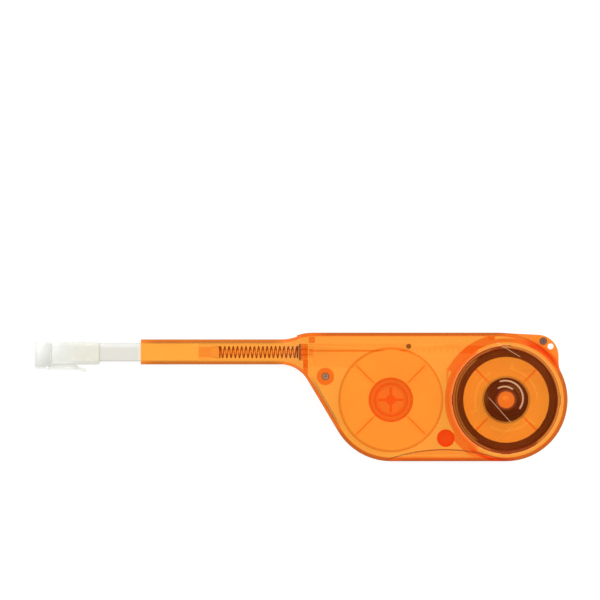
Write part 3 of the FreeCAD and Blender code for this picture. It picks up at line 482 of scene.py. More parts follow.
def upper_highlights_and_scratches(tree):
    """Mask of painted highlights along the window's two lips and in two arcs over the hub, and of two hair
    scratches.
    """
    lips = [(ring(tree, TAKE_UP_AXIS, *place), strength) for *place, strength in WINDOW_LIP_HIGHLIGHTS]
    lines = [(straight(tree, *ends, SCRATCH_WIDTH), SCRATCH_SHARE) for ends in SCRATCHES]
    shine = [
        (arc(tree, beside(TAKE_UP_AXIS, *shift), *place), WINDOW_HIGHLIGHT_SHARE)
        for shift, *place in WINDOW_PAINTED_HIGHLIGHT
    ]
    return greatest(tree, *lips, *lines, *shine)


def dome_painted_highlight(tree):
    """Mask of the painted highlight on the take-up axle's dome."""
    shine = disc(tree, beside(TAKE_UP_AXIS, *DOME_HIGHLIGHT_SHIFT), 0.0014, 0.0024)
    return figure(tree, "MULTIPLY", shine, DOME_HIGHLIGHT_SHARE)


def give_finish(finish, *names):
    for name in names:
        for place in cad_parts[name].material_slots:
            place.material = finish


lower_orange = clear_plastic("clear_orange_lower", SHELL_LOOK, thick_lower, dome_painted_highlight, upright_wall_shade)
upper_orange = clear_plastic("clear_orange_upper", SHELL_LOOK, thick_upper, upper_highlights_and_scratches, upright_wall_shade)
give_finish(lower_orange, "lower_shell")
give_finish(upper_orange, "upper_shell")

# ---------------------------------------------------------------------------------------------
# Screws: two self-tapping screws of plated steel with pan heads and cross recesses. They hold
# the shells together at the neck and in the ear.
HEAD_RADIUS = 0.0015
HEAD_EDGE, HEAD_UNDER, HEAD_FOOT = -0.0003, -0.0011, -0.0012
RECESS_CELLS, RECESS_CELL, RECESS_DEPTH, RECESS_TAPER = 7, 0.00034, 0.0006, 0.55
THREADS = 9
THREAD_START, POINT_LENGTH = -0.0016, 0.0016


def dimmed(colour, share):
    return tuple(share * channel for channel in colour[:3]) + (1,)


def plated_steel(name, colour, metal, roughness):
    """Drawn or plated steel: metal with fine rub lines and slightly darker clouds."""
    finish, tree = new_finish(name)
    marks = use_effect(tree, moulding, Flow_Scale=500.0, Grain_Scale=6000.0, Rub_Scale=700.0)
    shade = figure(tree, "MULTIPLY", marks["Cloud"], 0.5)
    surface = fit(
        tree, "ShaderNodeBsdfPrincipled", Base_Color=colour_blend(tree, shade, colour, dimmed(colour, 0.55)),
        Metallic=metal, Roughness=figure(tree, "MULTIPLY_ADD", marks["Grain"], 0.2, roughness - 0.1),
        Normal=relief(tree, marks["Rub"], 0.25, 0.00002),
    ).outputs[0]
    fit(tree, "ShaderNodeOutputMaterial", Surface=surface)
    return finish


def cross_screw(name, node, finish):
    """Grows a screw from its cross-recessed head down to its point, ring by ring."""
    low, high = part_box(node)
    x, y, top = (low[0] + high[0]) / 2, (low[1] + high[1]) / 2, high[2]
    length = high[2] - low[2]
    work = bmesh.new()
    bmesh.ops.create_grid(
        work, x_segments=RECESS_CELLS, y_segments=RECESS_CELLS, size=RECESS_CELLS / 2 * RECESS_CELL
    )
    for vert in [v for v in work.verts if v.is_boundary]:
        vert.co.xy = vert.co.xy.normalized() * 0.86 * HEAD_RADIUS
    reach, half = 2.6 * RECESS_CELL, 0.6 * RECESS_CELL
    cross = []
    for face in work.faces:
        near, far = sorted(abs(value) for value in face.calc_center_median().xy)
        if near < half and far < reach:
            cross.append(face)
    sunk = bmesh.ops.extrude_face_region(work, geom=cross)
    bmesh.ops.delete(work, geom=cross, context="FACES_ONLY")
    floor_verts = [item for item in sunk["geom"] if isinstance(item, bmesh.types.BMVert)]
    bmesh.ops.translate(work, verts=floor_verts, vec=(0, 0, -RECESS_DEPTH))
    bmesh.ops.scale(work, verts=floor_verts, vec=(RECESS_TAPER, RECESS_TAPER, 1.0))
    shank = HEAD_RADIUS / 1.5
    root = 0.8 * shank
    rings = [(HEAD_RADIUS, HEAD_EDGE), (HEAD_RADIUS, HEAD_UNDER), (1.02 * shank, HEAD_FOOT)]
    thread_end = -length + POINT_LENGTH
    step = (thread_end - THREAD_START) / THREADS
    for i in range(THREADS):
        z = THREAD_START + step * i
        rings += [(root, z), (shank, z + 0.45 * step), (root, z + 0.9 * step)]
    rings += [(0.75 * shank, thread_end), (0.12 * shank, -length + 0.00002)]
    edge = [e for e in work.edges if e.is_boundary]
    for radius, z in rings:
        grown = bmesh.ops.extrude_edge_only(work, edges=edge)["geom"]
        for vert in (item for item in grown if isinstance(item, bmesh.types.BMVert)):
            vert.co.xy = vert.co.xy.normalized() * radius
            vert.co.z = z
        edge = [item for item in grown if isinstance(item, bmesh.types.BMEdge)]
    bmesh.ops.contextual_create(work, geom=edge)
    bmesh.ops.translate(work, verts=work.verts, vec=(x, y, top))
    bmesh.ops.recalc_face_normals(work, faces=work.faces)
    piece = finish_piece(name, work, finish)
    for polygon in piece.data.polygons:
        polygon.use_smooth = abs(polygon.normal.z) < 0.9
    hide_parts(node)
    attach(piece, "housing")


screw_steel = plated_steel("screw_steel", (0.17, 0.088, 0.055, 1), 0.9, 0.32)
cross_screw("neck_cross_screw", "neck_screw", screw_steel)
# The corner screw's steel is darker.
darker_steel = plated_steel("darker_steel", (0.085, 0.045, 0.035, 1), 0.9, 0.35)
cross_screw("corner_cross_screw", "corner_screw", darker_steel)

# ---------------------------------------------------------------------------------------------
# Supply reel: a drum with two flanges and four ribs, moulded in pale clear orange, and on it the
# full roll of white cleaning tape, a fine lint-free cloth wound edge to edge.
REEL_LOOK = {
    "tint": (0.997, 0.984, 0.925, 1), "deep": (1.0, 0.80, 0.55, 1), "edge": (0.95, 0.80, 0.60, 1),
    "body": (1.0, 0.24, 0.03, 1), "near_face": 0.06, "depth_colour": (0.92, 0.36, 0.10, 1), "depth": 66.0,
}
RIB_START, RIB_LENGTH = 0.0089, 0.0113
RIM_IN, RIM_WIDTH, RIM_SHARE = 0.0004, 0.0005, 0.6


def reel_ribs(node, axis, width):
    """Mask builder for the four thin ribs of a flange, on the diagonals between drum and rim, and for
    its rolled rim."""
    rim_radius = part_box(node)[1][0] - axis[0] - RIM_IN

    def mask(tree):
        marks = [(ring(tree, axis, rim_radius, RIM_WIDTH), RIM_SHARE)]
        for angle in (45, 135, 225, 315):
            way = Vector((math.cos(math.radians(angle)), math.sin(math.radians(angle))))
            start = Vector(axis[:2]) + RIB_START * way
            marks.append((straight(tree, start, start + RIB_LENGTH * way, width), 1.0))
        return greatest(tree, *marks)

    return mask


reel_orange = clear_plastic("reel_orange", REEL_LOOK)
supply_flange_look = REEL_LOOK | {"deep": (0.93, 0.74, 0.56, 1)}
supply_rib_orange = clear_plastic(
    "supply_flange_orange", supply_flange_look, reel_ribs("supply_flange", SUPPLY_AXIS, 0.0003)
)
give_finish(reel_orange, "supply_reel")
give_finish(supply_rib_orange, "supply_flange")

# Lint-free cloth: fine crossed threads with a soft nap, and faint layer lines on a roll's ends
cloth_weave, given, result = new_effect(
    "cloth_weave",
    {"Thread Scale": (FLOAT, 2600.0), "Layer Pitch": (FLOAT, 0.00028), "Centre": (VECTOR, (0, 0, 0))},
    ("Threads", "Layers"),
)
here = place_on_piece(cloth_weave)
nap = noise(cloth_weave, here, given["Thread Scale"], 3.0)
threads = [
    fit(
        cloth_weave, "ShaderNodeTexWave", bands_direction=direction, Vector=here, Distortion=1.5,
        Scale=figure(cloth_weave, "MULTIPLY", given["Thread Scale"], 0.25),
    ).outputs["Fac"]
    for direction in ("DIAGONAL", "Z")
]
crossed = figure(cloth_weave, "MAXIMUM", *threads)
cloth_weave.links.new(figure(cloth_weave, "MULTIPLY_ADD", nap, 0.5, crossed), result["Threads"])
reach = vector_step(cloth_weave, "LENGTH", level_offset(cloth_weave, given["Centre"]))
wander = noise(cloth_weave, here, 900.0, 1.0)
layers = figure(cloth_weave, "DIVIDE", reach, given["Layer Pitch"])
layers = figure(cloth_weave, "PINGPONG", figure(cloth_weave, "MULTIPLY_ADD", wander, 0.8, layers), 0.5)
cloth_weave.links.new(figure(cloth_weave, "MULTIPLY", layers, 2.0), result["Layers"])


def tape_cloth(name, colour, centre, layer_share):
    """White lint-free cloth. On a roll, the ends show its wound layers."""
    finish, tree = new_finish(name)
    weave = use_effect(tree, cloth_weave, Centre=centre)
    worn = use_effect(tree, moulding, Flow_Scale=180.0)["Cloud"]
    shade = figure(tree, "MULTIPLY_ADD", weave["Layers"], layer_share, figure(tree, "MULTIPLY", worn, 0.06))
    surface = fit(
        tree, "ShaderNodeBsdfPrincipled", Base_Color=colour_blend(tree, shade, colour, dimmed(colour, 0.72)),
        Roughness=0.9, Specular_IOR_Level=0.15, Normal=relief(tree, weave["Threads"], 0.5, 0.00006),
    ).outputs[0]
    fit(tree, "ShaderNodeOutputMaterial", Surface=surface)
    return finish


roll_cloth = tape_cloth("roll_cloth", (1.0, 0.90, 0.87, 1), SUPPLY_AXIS, 0.10)
run_cloth = tape_cloth("run_cloth", (0.95, 0.94, 0.92, 1), (0, 0, 0), 0.0)
used_cloth = tape_cloth("used_cloth", (0.62, 0.60, 0.57, 1), TAKE_UP_AXIS, 0.35)
give_finish(roll_cloth, "supply_tape")
give_finish(run_cloth, "tip_tape")
give_finish(used_cloth, "used_tape")


def tape_piece(name, node, seat_x, in_tube):
    """Takes the stretch of a tape on one side of the spring's seat from the tape's whole run."""
    work = bmesh.new()
    work.from_mesh(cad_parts[node].data)
    bmesh.ops.remove_doubles(work, verts=work.verts, dist=1e-6)
    cut = bmesh.ops.bisect_plane(
        work, geom=work.verts[:] + work.edges[:] + work.faces[:], dist=1e-7, plane_co=(seat_x, 0, 0),
        plane_no=(1, 0, 0), clear_outer=in_tube, clear_inner=not in_tube,
    )["geom_cut"]
    bmesh.ops.holes_fill(work, edges=[item for item in cut if isinstance(item, bmesh.types.BMEdge)])
    piece = finish_piece(name, work, run_cloth)
    for polygon in piece.data.polygons:
        polygon.use_smooth = False
    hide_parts(node)
    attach(piece, "housing")
    if in_tube:
        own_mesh(piece)


for node in ("feed_tape", "return_tape"):
    tape_piece(node + "_in_tube", node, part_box("seat_plate")[0][0], True)
    tape_piece(node + "_to_reel", node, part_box("seat_plate")[0][0], False)

# ---------------------------------------------------------------------------------------------
# Take-up reel, its ribbed upper flange and the drive gear below it, moulded in the same pale
# clear orange. The flange's ribs end in the pawls of the ratchet.
take_up_flange_look = REEL_LOOK | {
    "tint": (0.990, 0.995, 0.955, 1), "deep": (0.97, 0.66, 0.45, 1), "body": (0.80, 0.42, 0.14, 1),
    "near_face": 0.10, "depth": 50.0,
}
take_up_rib_orange = clear_plastic(
    "take_up_flange_orange", take_up_flange_look, reel_ribs("take_up_flange", TAKE_UP_AXIS, 0.0005)
)
give_finish(reel_orange, "take_up_reel", "drive_gear")
give_finish(take_up_rib_orange, "take_up_flange")

# ---------------------------------------------------------------------------------------------
# Anti-reverse ring: black acetal, turned with two raised bands, saw teeth inside and four hooks
# that hold it in the upper shell. The reel's pawls click over the teeth one way.
RING_OUT = 0.0215
RING_IN = 0.0170
RING_HEIGHT = 0.0026
RING_CORNER = 0.0001
BAND_HEIGHT = 0.0005
TOOTH_DEPTH = 0.0003
TEETH = 36
STEPS_A_TOOTH = 4
HOOK_REACH, HOOK_WIDTH, HOOK_THICKNESS, HOOK_ROOT = 0.02130, 0.004, 0.0008, 0.0012
RING_BROWN = (0.22, 0.06, 0.015, 1)
HIGHLIGHT_WHITE = (1.0, 0.92, 0.84, 1)
# Painted highlights on the ring, for the lamp's reflections: radius, width, direction and half angle in
# degrees, and strength
RING_PAINTED_HIGHLIGHTS = (
    (0.0199, 0.0005, 180, 55, 0.30), (0.0208, 0.0005, 180, 75, 0.25), (0.0210, 0.0006, 20, 75, 0.55),
)
ring_low, ring_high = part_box("anti_reverse_ring")
ring_base, ring_top = ring_low[2], ring_low[2] + RING_HEIGHT


def black_acetal(name, colour, ridge_pitch, shine=(), brown_from=1.0):
    """Black acetal turned about the take-up axis, with fine ridges, painted highlights in arcs, and a
    thin brown rim past a radius."""
    finish, tree = new_finish(name)
    ridges = use_effect(tree, cloth_weave, Centre=TAKE_UP_AXIS, Layer_Pitch=ridge_pitch)["Layers"]
    marks = use_effect(tree, moulding, Flow_Scale=140.0, Grain_Scale=3000.0)
    shade = figure(tree, "MULTIPLY_ADD", marks["Cloud"], 0.25, figure(tree, "MULTIPLY", marks["Rub"], 0.5))
    own = colour_blend(tree, shade, colour, dimmed(colour, 2.2))
    own = colour_blend(tree, disc(tree, TAKE_UP_AXIS, brown_from, 0.0004), RING_BROWN, own)
    # Painted highlights: whitish arcs where the lamp's reflections fall
    for *place, strength in shine:
        mark = figure(tree, "MULTIPLY", arc(tree, TAKE_UP_AXIS, *place), strength)
        own = colour_blend(tree, mark, own, HIGHLIGHT_WHITE)
    height = figure(tree, "MULTIPLY_ADD", marks["Grain"], 0.15, ridges)
    surface = fit(
        tree, "ShaderNodeBsdfPrincipled", Base_Color=own, Specular_IOR_Level=0.12,
        Normal=relief(tree, height, 0.12, 0.00003),
        Roughness=figure(tree, "MULTIPLY_ADD", marks["Rub"], 0.2, 0.18),
    ).outputs[0]
    fit(tree, "ShaderNodeOutputMaterial", Surface=surface)
    return finish


def turned(work, profile, axis, steps):
    """Turns a closed outline of (radius, height) points round an upright axis."""
    corners = [work.verts.new((axis[0] + radius, axis[1], height)) for radius, height in profile]
    edges = [work.edges.new(pair) for pair in zip(corners, corners[1:] + corners[:1])]
    bmesh.ops.spin(
        work, geom=corners + edges, cent=(*axis[:2], 0.0), axis=(0, 0, 1), angle=2 * math.pi, steps=steps,
        use_merge=True,
    )
    bmesh.ops.remove_doubles(work, verts=work.verts, dist=1e-7)


def curved_outline(radius, width, points, height_at):
    """Outline points from outside to inside, with a height for each share of the way."""
    shares = [i / (points - 1) for i in range(points)]
    return [(radius + width * (0.5 - share), height_at(share)) for share in shares]


def raised_band(radius, low, high, width):
    """Outline of a half-round band on a flat face."""
    return curved_outline(radius, width, 7, lambda share: low + (high - low) * math.sin(math.pi * share))


work = bmesh.new()
face_height = ring_top - BAND_HEIGHT
profile = [(RING_IN, ring_base), (RING_OUT - RING_CORNER, ring_base), (RING_OUT, ring_base + RING_CORNER)]
profile += [(RING_OUT, face_height - RING_CORNER), (RING_OUT - RING_CORNER, face_height)]
profile += raised_band(0.0209, face_height, ring_top, 0.0006)
profile += raised_band(0.0199, face_height, ring_top - 0.0001, 0.0005)
profile += [(RING_IN + RING_CORNER, face_height), (RING_IN, face_height - RING_CORNER)]
turned(work, profile, TAKE_UP_AXIS, STEPS_A_TOOTH * TEETH)
axle = Vector(TAKE_UP_AXIS)
for vert in work.verts:
    arm = (vert.co - axle) * Vector((1, 1, 0))
    if arm.length < RING_IN + 0.00005:
        share = (math.degrees(math.atan2(arm.y, arm.x)) % (360 / TEETH)) / (360 / TEETH)
        vert.co += arm.normalized() * TOOTH_DEPTH * (1 - share)
hook_height = ring_high[2] - ring_top + HOOK_ROOT
for quarter in range(4):
    hook = bmesh.ops.create_cube(work, size=1.0)["verts"]
    bmesh.ops.scale(work, verts=hook, vec=(HOOK_THICKNESS, HOOK_WIDTH, hook_height))
    bmesh.ops.translate(work, verts=hook, vec=(HOOK_REACH, 0, ring_high[2] - hook_height / 2))
    bmesh.ops.rotate(work, verts=hook, cent=(0, 0, 0), matrix=Matrix.Rotation(quarter * math.pi / 2, 3, "Z"))
    bmesh.ops.translate(work, verts=hook, vec=axle)
bmesh.ops.recalc_face_normals(work, faces=work.faces)
ring_black = black_acetal("ring_black", (0.040, 0.012, 0.003, 1), 0.0011, RING_PAINTED_HIGHLIGHTS, 0.0204)
turned_ring = finish_piece("turned_anti_reverse_ring", work, ring_black)
for polygon in turned_ring.data.polygons:
    polygon.use_smooth = len(polygon.vertices) == 4 and abs(polygon.normal.z) < 0.97
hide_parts("anti_reverse_ring")
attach(turned_ring, "housing")

# ---------------------------------------------------------------------------------------------
# Clutch hub: a turned cap of black acetal on the take-up sleeve, with a bevelled shoulder and two
# rounded steps up to its bore.
HUB_BORE = 0.00412
HUB_CORNER = 0.0002
HUB_BEVEL = 0.0003
SHOULDER_DROP, STEP_DROP = 0.0013, 0.0006
hub_low, hub_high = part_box("clutch_hub")
hub_base, hub_top, hub_out = hub_low[2], hub_high[2], (hub_high[0] - hub_low[0]) / 2


def rounded_step(radius, low, high, width):
    """Outline of a rounded step that goes up towards the axis."""
    return curved_outline(
        radius, width, 6, lambda share: low + (high - low) * (0.5 - 0.5 * math.cos(math.pi * share))
    )


shoulder, step = hub_top - SHOULDER_DROP, hub_top - STEP_DROP
work = bmesh.new()
profile = [(HUB_BORE, hub_base), (hub_out - HUB_CORNER, hub_base), (hub_out, hub_base + HUB_CORNER)]
profile += [(hub_out, shoulder - HUB_BEVEL), (hub_out - HUB_BEVEL, shoulder)]
profile += rounded_step(0.0068, shoulder, step, 0.0007)
profile += rounded_step(0.0050, step, hub_top, 0.0006)
profile += [(HUB_BORE + HUB_CORNER, hub_top), (HUB_BORE, hub_top - HUB_CORNER)]
turned(work, profile, TAKE_UP_AXIS, 96)
bmesh.ops.recalc_face_normals(work, faces=work.faces)
hub_black = black_acetal("hub_black", (0.008, 0.006, 0.002, 1), 0.0006)
turned_hub = finish_piece("turned_clutch_hub", work, hub_black)
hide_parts("clutch_hub")
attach(turned_hub, "take_up")

# ---------------------------------------------------------------------------------------------
# Slide: the rack plate of pale clear orange and the orange rod with its collar, the seat plate
# and stop pin of steel, and the return spring, wound from round steel wire with closed ends.
SLIDE_LOOK = REEL_LOOK | {"tint": (1.0, 0.985, 0.955, 1), "near_face": 0.04, "depth": 35.0}
TAPE_GROOVE = ((0.0026, 0.0184), (0.0436, 0.0184), 0.0006)
WIRE_RADIUS = 0.00024
SPRING_TURNS = 20
STEPS_A_TURN = 24
WIRE_SIDES = 10


def tape_groove(tree):
    """Mask of the groove along the rack plate that the tape runs over."""
    return straight(tree, *TAPE_GROOVE)


give_finish(clear_plastic("slide_orange", SLIDE_LOOK), "slide_rod")
plate_look = SLIDE_LOOK | {"deep": (0.97, 0.76, 0.50, 1)}
give_finish(clear_plastic("plate_orange", plate_look, tape_groove), "slide_plate")
dark_steel = plated_steel("dark_steel", (0.13, 0.10, 0.085, 1), 0.7, 0.4)
give_finish(dark_steel, "seat_plate", "stop_pin")

(spring_low, spring_high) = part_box("return_spring")
spring_axis = Vector((0.0, (spring_low[1] + spring_high[1]) / 2, (spring_low[2] + spring_high[2]) / 2))
coil_radius = (spring_high[1] - spring_low[1]) / 2 - WIRE_RADIUS
work = bmesh.new()
section = bmesh.ops.create_circle(work, cap_ends=False, segments=WIRE_SIDES, radius=WIRE_RADIUS)["verts"]
bmesh.ops.translate(work, verts=section, vec=(spring_low[0] + WIRE_RADIUS, 0, 0))
bmesh.ops.translate(work, verts=section, vec=spring_axis + Vector((0, coil_radius, 0)))
end = list(section) + [e for e in work.edges]
spring_length = spring_high[0] - spring_low[0]
coiled = spring_length - 2 * WIRE_RADIUS
closed = 2 * WIRE_RADIUS * 1.1
for turns, travel in ((1, closed), (SPRING_TURNS - 2, coiled - 2 * closed), (1, closed)):
    steps = turns * STEPS_A_TURN
    end = bmesh.ops.spin(
        work, geom=end, cent=spring_axis, axis=(1, 0, 0), dvec=(travel / steps, 0, 0),
        angle=2 * math.pi * turns, steps=steps,
    )["geom_last"]
bmesh.ops.holes_fill(work, edges=[e for e in work.edges if e.is_boundary])
bmesh.ops.recalc_face_normals(work, faces=work.faces)
spring_steel = plated_steel("spring_steel", (0.60, 0.20, 0.035, 1), 0.75, 0.35)
wound_spring = finish_piece("wound_spring", work, spring_steel)
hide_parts("return_spring")
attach(wound_spring, "housing")
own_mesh(wound_spring)

# ---------------------------------------------------------------------------------------------
# Nozzle: a white acetal sleeve with the tip insert that carries the tape, and the soft pad under
# the tape at the very tip. Its shown front is a little grey, with painted light along its upper side.
CAP_END, TUBE_MOUTH = (-0.0815, -0.0800), (-0.0655, -0.0635)
LIT_SIDE = (0.0012, 0.0030)
WINDOW_WHITE = (0.97, 0.975, 0.95, 1)
(sleeve_low, sleeve_high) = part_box("nozzle_sleeve")
sleeve_middle = (sleeve_low[1] + sleeve_high[1]) / 2


def cloudy_plastic(name, colour, edge_colour, see_through, roughness, tone_masks_with_painted_light=None):
    """Milky moulded plastic, see-through by the given share. The last argument builds masks, each with a
    colour, for parts that are greyer or yellower and for painted light and shade."""
    finish, tree = new_finish(name)
    marks = use_effect(tree, moulding, Flow_Scale=120.0)
    own = colour_blend(tree, figure(tree, "MULTIPLY", marks["Cloud"], 0.35), colour, edge_colour)
    for mask, tone in tone_masks_with_painted_light(tree) if tone_masks_with_painted_light else ():
        own = colour_blend(tree, mask, own, tone)
    surface = fit(
        tree, "ShaderNodeBsdfPrincipled", Base_Color=own, IOR=PLASTIC_IOR,
        Roughness=figure(tree, "MULTIPLY_ADD", marks["Rub"], 0.2, roughness),
        Normal=relief(tree, marks["Grain"], 0.2, 0.00004),
    ).outputs[0]
    if see_through:
        window = fit(tree, "ShaderNodeBsdfTransparent", Color=WINDOW_WHITE).outputs[0]
        facing = fit(tree, "ShaderNodeLayerWeight", Blend=0.3).outputs["Facing"]
        solid = figure(tree, "MULTIPLY_ADD", facing, -0.30, 1.0 - see_through)
        solid = figure(tree, "MULTIPLY_ADD", marks["Cloud"], 0.10, solid)
        surface = cross_fade(tree, figure(tree, "MINIMUM", solid, 1.0), window, surface)
    fit(tree, "ShaderNodeOutputMaterial", Surface=surface)
    return finish


def grey_front_and_painted_lit_top(tree):
    """The shown front of the sleeve is a little grey, and less grey along its upper side, which is painted
    light.
    """
    here = fit(tree, "ShaderNodeSeparateXYZ", Vector=place_on_piece(tree)).outputs
    before_tube = opposite(tree, ramp(tree, here["X"], *TUBE_MOUTH))
    front = figure(tree, "MULTIPLY", ramp(tree, here["X"], *CAP_END), before_tube)
    # Painted light: the upper side of the shown front is less grey
    upper = ramp(tree, here["Y"], *(sleeve_middle + y for y in LIT_SIDE))
    return (
        (front, (0.585, 0.572, 0.515, 1)),
        (figure(tree, "MULTIPLY", front, upper), (0.70, 0.70, 0.66, 1)),
    )


sleeve_white = cloudy_plastic(
    "sleeve_white", (0.94, 0.88, 0.79, 1), (0.87, 0.81, 0.72, 1), 0.0, 0.32, grey_front_and_painted_lit_top
)
pad_white = cloudy_plastic("pad_white", (0.75, 0.74, 0.70, 1), (0.62, 0.61, 0.57, 1), 0.0, 0.85)
give_finish(sleeve_white, "nozzle_sleeve", "nozzle_tip")
give_finish(pad_white, "tip_pad")

# ---------------------------------------------------------------------------------------------
# Guide cap: a milky polypropylene sleeve with soft corners that slides on the nozzle. Its stepped
# mouth guides the tip into a connector, and a springy arm below it ends in a turned-down tail.
MOUTH_LENGTH = 0.0032
MOUTH_STEP = 0.00085
MOUTH_RISE = 0.00065
MOUTH_WALL = 0.0007
SOCKET_DEPTH = 0.0065
BODY_BELOW = 0.0050
FIT_GAP = 0.0001
HINGE_BACK = 0.0015
HINGE_DROP = 0.0011
HINGE_RADIUS = 0.0009
HINGE_EDGE = 0.0001
PIN_HOLE = 0.00043
ARM_HALF = 0.0025
ARM_LENGTH = 0.0119
ARM_RISE = 0.0007
TAIL_HALF = 0.0035
TAIL_IN = 0.0054
TAIL_SLOPE = 0.28
RING_POINTS = 64
SOFT_CORNER = 9
BEHIND_MOUTH = (-0.1025, -0.0980)
(cap_low, cap_high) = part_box("guide_cap")
hinge = Vector((
    cap_low[0] + HINGE_BACK, sleeve_middle - BODY_BELOW - HINGE_DROP, (sleeve_low[2] + sleeve_high[2]) / 2
))


def cap_tones_and_painted_light(tree):
    """The cap is darker and yellower from behind its mouth towards its rear. Its upper side is lighter,
    which is painted light, and its underside behind the mouth a little darker, which is painted shade."""
    here = fit(tree, "ShaderNodeSeparateXYZ", Vector=place_on_piece(tree)).outputs
    rear = ramp(tree, here["X"], cap_low[0] + 0.003, cap_high[0])
    under = opposite(tree, ramp(tree, here["Y"], sleeve_middle - 0.003, sleeve_middle + 0.004))
    under = figure(tree, "MULTIPLY", under, ramp(tree, here["X"], *BEHIND_MOUTH))
    above = ramp(tree, here["Y"], sleeve_middle + 0.002, sleeve_middle + 0.004)
    # Painted light on the upper side and painted shade on the underside
    return (
        (rear, (0.735, 0.74, 0.645, 1)),
        (figure(tree, "MULTIPLY", under, 0.22), (0.76, 0.76, 0.66, 1)),
        (figure(tree, "MULTIPLY", above, 0.75), (1.0, 1.0, 0.98, 1)),
    )


natural = cloudy_plastic(
    "natural_plastic", (1.0, 1.0, 0.99, 1), (0.95, 0.975, 0.95, 1), 0.56, 0.28, cap_tones_and_painted_light
)


def moulded_rings(work, rings):
    """Grows a hollow moulding along the nozzle, from one soft-cornered ring to the next, and closes
    it on its first ring. Each ring has its place along, its lowest and highest y, and its half depth."""
    verts = bmesh.ops.create_circle(work, cap_ends=False, segments=RING_POINTS, radius=1.0)["verts"]
    first = edge = list({e for vert in verts for e in vert.link_edges})
    for count, (x, low, high, half) in enumerate(rings):
        if count:
            grown = bmesh.ops.extrude_edge_only(work, edges=edge)["geom"]
            edge = [item for item in grown if isinstance(item, bmesh.types.BMEdge)]
            verts = [item for item in grown if isinstance(item, bmesh.types.BMVert)]
        for vert in verts:
            way = vert.co.xy.normalized()
            if count:
                way = Vector(((vert.co.y - middle) / tall, (vert.co.z - hinge.z) / wide))
            size = (abs(way.x) ** SOFT_CORNER + abs(way.y) ** SOFT_CORNER) ** (1 / SOFT_CORNER)
            vert.co = (x, (low + high) / 2 + way.x / size * (high - low) / 2, hinge.z + way.y / size * half)
        middle, tall, wide = (low + high) / 2, (high - low) / 2, half
    bmesh.ops.bridge_loops(work, edges=first + edge)


def rounded_bar(work, low, high, radius):
    """A bar with all its edges rounded."""
    verts = bmesh.ops.create_cube(work, size=1.0)["verts"]
    bmesh.ops.scale(work, verts=verts, vec=Vector(high) - Vector(low))
    bmesh.ops.translate(work, verts=verts, vec=(Vector(high) + Vector(low)) / 2)
    edges = list({e for vert in verts for e in vert.link_edges})
    return bmesh.ops.bevel(
        work, geom=edges, offset=radius, offset_type="OFFSET", affect="EDGES", segments=3, profile=0.5,
        material=-1,
    )["verts"]


def hinge_eye(work, low, high):
    """A knuckle with its pin hole, between two heights."""
    inner, outer = HINGE_RADIUS - HINGE_EDGE, HINGE_RADIUS
    profile = [
        (PIN_HOLE, low), (inner, low), (outer, low + HINGE_EDGE), (outer, high - HINGE_EDGE), (inner, high),
        (PIN_HOLE, high),
    ]
    turned(work, profile, hinge, 32)


def eased(x, box, by):
    """A ring of a section at a place along, drawn in on all sides."""
    return (x, box[0] + by, box[1] - by, box[2] - by)


body_low, body_high, body_half = sleeve_middle - BODY_BELOW, cap_high[1], (cap_high[2] - cap_low[2]) / 2
outer = (body_low, body_high, body_half)
mouth = (body_low + MOUTH_RISE, body_high - MOUTH_STEP, body_half - MOUTH_STEP)
bore = (sleeve_low[1] - FIT_GAP, sleeve_high[1] + FIT_GAP, (sleeve_high[2] - sleeve_low[2]) / 2 + FIT_GAP)
socket = (mouth[0] + MOUTH_WALL, mouth[1] - MOUTH_WALL, mouth[2] - MOUTH_WALL)
front, rear = cap_low[0], cap_high[0]
step_x, floor_x = front + MOUTH_LENGTH, front + SOCKET_DEPTH
work = bmesh.new()
moulded_rings(work, [
    eased(front, mouth, 0.00035), eased(front + 0.00015, mouth, 0.0001), eased(front + 0.0004, mouth, 0),
    eased(step_x - 0.0001, mouth, 0), eased(step_x, mouth, -0.0001), eased(step_x, outer, 0.0006),
    eased(step_x + 0.0001, outer, 0.0003), eased(step_x + 0.0003, outer, 0.0001),
    eased(step_x + 0.0006, outer, 0), eased(rear - 0.0006, outer, 0), eased(rear - 0.0003, outer, 0.0001),
    eased(rear - 0.0001, outer, 0.0003), eased(rear, outer, 0.0006), eased(rear, bore, -0.0002),
    eased(rear - 0.0002, bore, 0), eased(floor_x, bore, 0), eased(floor_x, socket, 0),
    eased(front + 0.0005, socket, 0), eased(front, socket, -0.0003),
])
arm_low, arm_high, arm_end = hinge.y - HINGE_RADIUS, hinge.y + ARM_RISE, hinge.x + ARM_LENGTH
tail = rounded_bar(
    work, (arm_end - 0.0006, arm_low, hinge.z - TAIL_HALF),
    (rear - TAIL_IN, arm_high - 0.0002, hinge.z + TAIL_HALF), 0.0003,
)
for vert in tail:
    vert.co.y -= TAIL_SLOPE * max(0.0, vert.co.x - arm_end)
rounded_bar(
    work, (hinge.x + 0.0002, arm_low + 0.0001, hinge.z - ARM_HALF),
    (arm_end + 0.0003, arm_high, hinge.z + ARM_HALF), 0.0004,
)
rounded_bar(
    work, (hinge.x + HINGE_RADIUS + 0.0003, hinge.y, hinge.z - ARM_HALF),
    (arm_end - 0.0004, body_low + 0.0003, hinge.z + ARM_HALF), 0.0003,
)
hinge_eye(work, hinge.z - ARM_HALF, hinge.z + ARM_HALF)
bmesh.ops.recalc_face_normals(work, faces=work.faces)
milky_cap = finish_piece("milky_guide_cap", work, natural)
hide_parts("guide_cap")
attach(milky_cap, "cap")

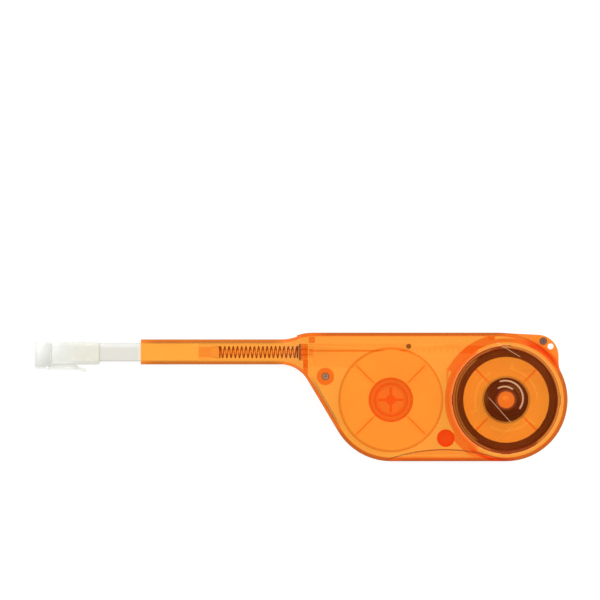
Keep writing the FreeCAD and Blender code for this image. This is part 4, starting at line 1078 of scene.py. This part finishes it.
# ---------------------------------------------------------------------------------------------
# Dust lid: a thin milky box that covers the cap's mouth, open behind and below. It swings down on
# a steel pin, and a lip at the foot of its front is pushed to open it.
LID_WALL = 0.0006
LID_OVERLAP = 0.0029
LID_CORNER = 0.0009
LID_FOOT = 0.0003
STRAP_IN = 0.00265
STRAP_WIDTH = 0.0016
STRAP_HALF = 0.0005
LIP_HALF = 0.005
LIP_LENGTH = 0.0009
LIP_RISE = 0.0006
(lid_low, lid_high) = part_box("dust_lid")
lid_rear, lid_foot = cap_low[0] + LID_OVERLAP, hinge.y + LID_FOOT
work = bmesh.new()
verts = bmesh.ops.create_cube(work, size=1.0)["verts"]
bmesh.ops.scale(
    work, verts=verts, vec=(lid_rear - lid_low[0], lid_high[1] - lid_foot, lid_high[2] - lid_low[2])
)
bmesh.ops.translate(
    work, verts=verts, vec=((lid_rear + lid_low[0]) / 2, (lid_high[1] + lid_foot) / 2, hinge.z)
)
open_sides = [face for face in work.faces if face.normal.x > 0.9 or face.normal.y < -0.9]
bmesh.ops.delete(work, geom=open_sides, context="FACES_ONLY")
bmesh.ops.delete(work, geom=[e for e in work.edges if not e.link_faces], context="EDGES")
bmesh.ops.bevel(
    work, geom=[e for e in work.edges if not e.is_boundary], offset=LID_CORNER, offset_type="OFFSET",
    affect="EDGES", segments=5, profile=0.5, material=-1,
)
bmesh.ops.recalc_face_normals(work, faces=work.faces)
if sum(face.normal.z * (face.calc_center_median().z - hinge.z) for face in work.faces) < 0:
    bmesh.ops.reverse_faces(work, faces=work.faces)
bmesh.ops.solidify(work, geom=work.faces[:], thickness=LID_WALL)
for side in (1, -1):
    low, high = sorted((hinge.z + side * STRAP_IN, hinge.z + side * (STRAP_IN + STRAP_WIDTH)))
    rounded_bar(
        work, (lid_low[0] + 0.0004, hinge.y - STRAP_HALF, low),
        (hinge.x - 0.0006, hinge.y + STRAP_HALF, high), 0.0002,
    )
    hinge_eye(work, low, high)
rounded_bar(
    work, (lid_low[0], lid_low[1], hinge.z - LIP_HALF),
    (lid_low[0] + LIP_LENGTH, lid_foot + LIP_RISE, hinge.z + LIP_HALF), 0.00025,
)
bmesh.ops.recalc_face_normals(work, faces=work.faces)
milky_lid = finish_piece("milky_dust_lid", work, natural)
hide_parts("dust_lid")
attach(milky_lid, "lid")
give_finish(plated_steel("pin_steel", (0.78, 0.78, 0.75, 1), 1.0, 0.35), "lid_pin")
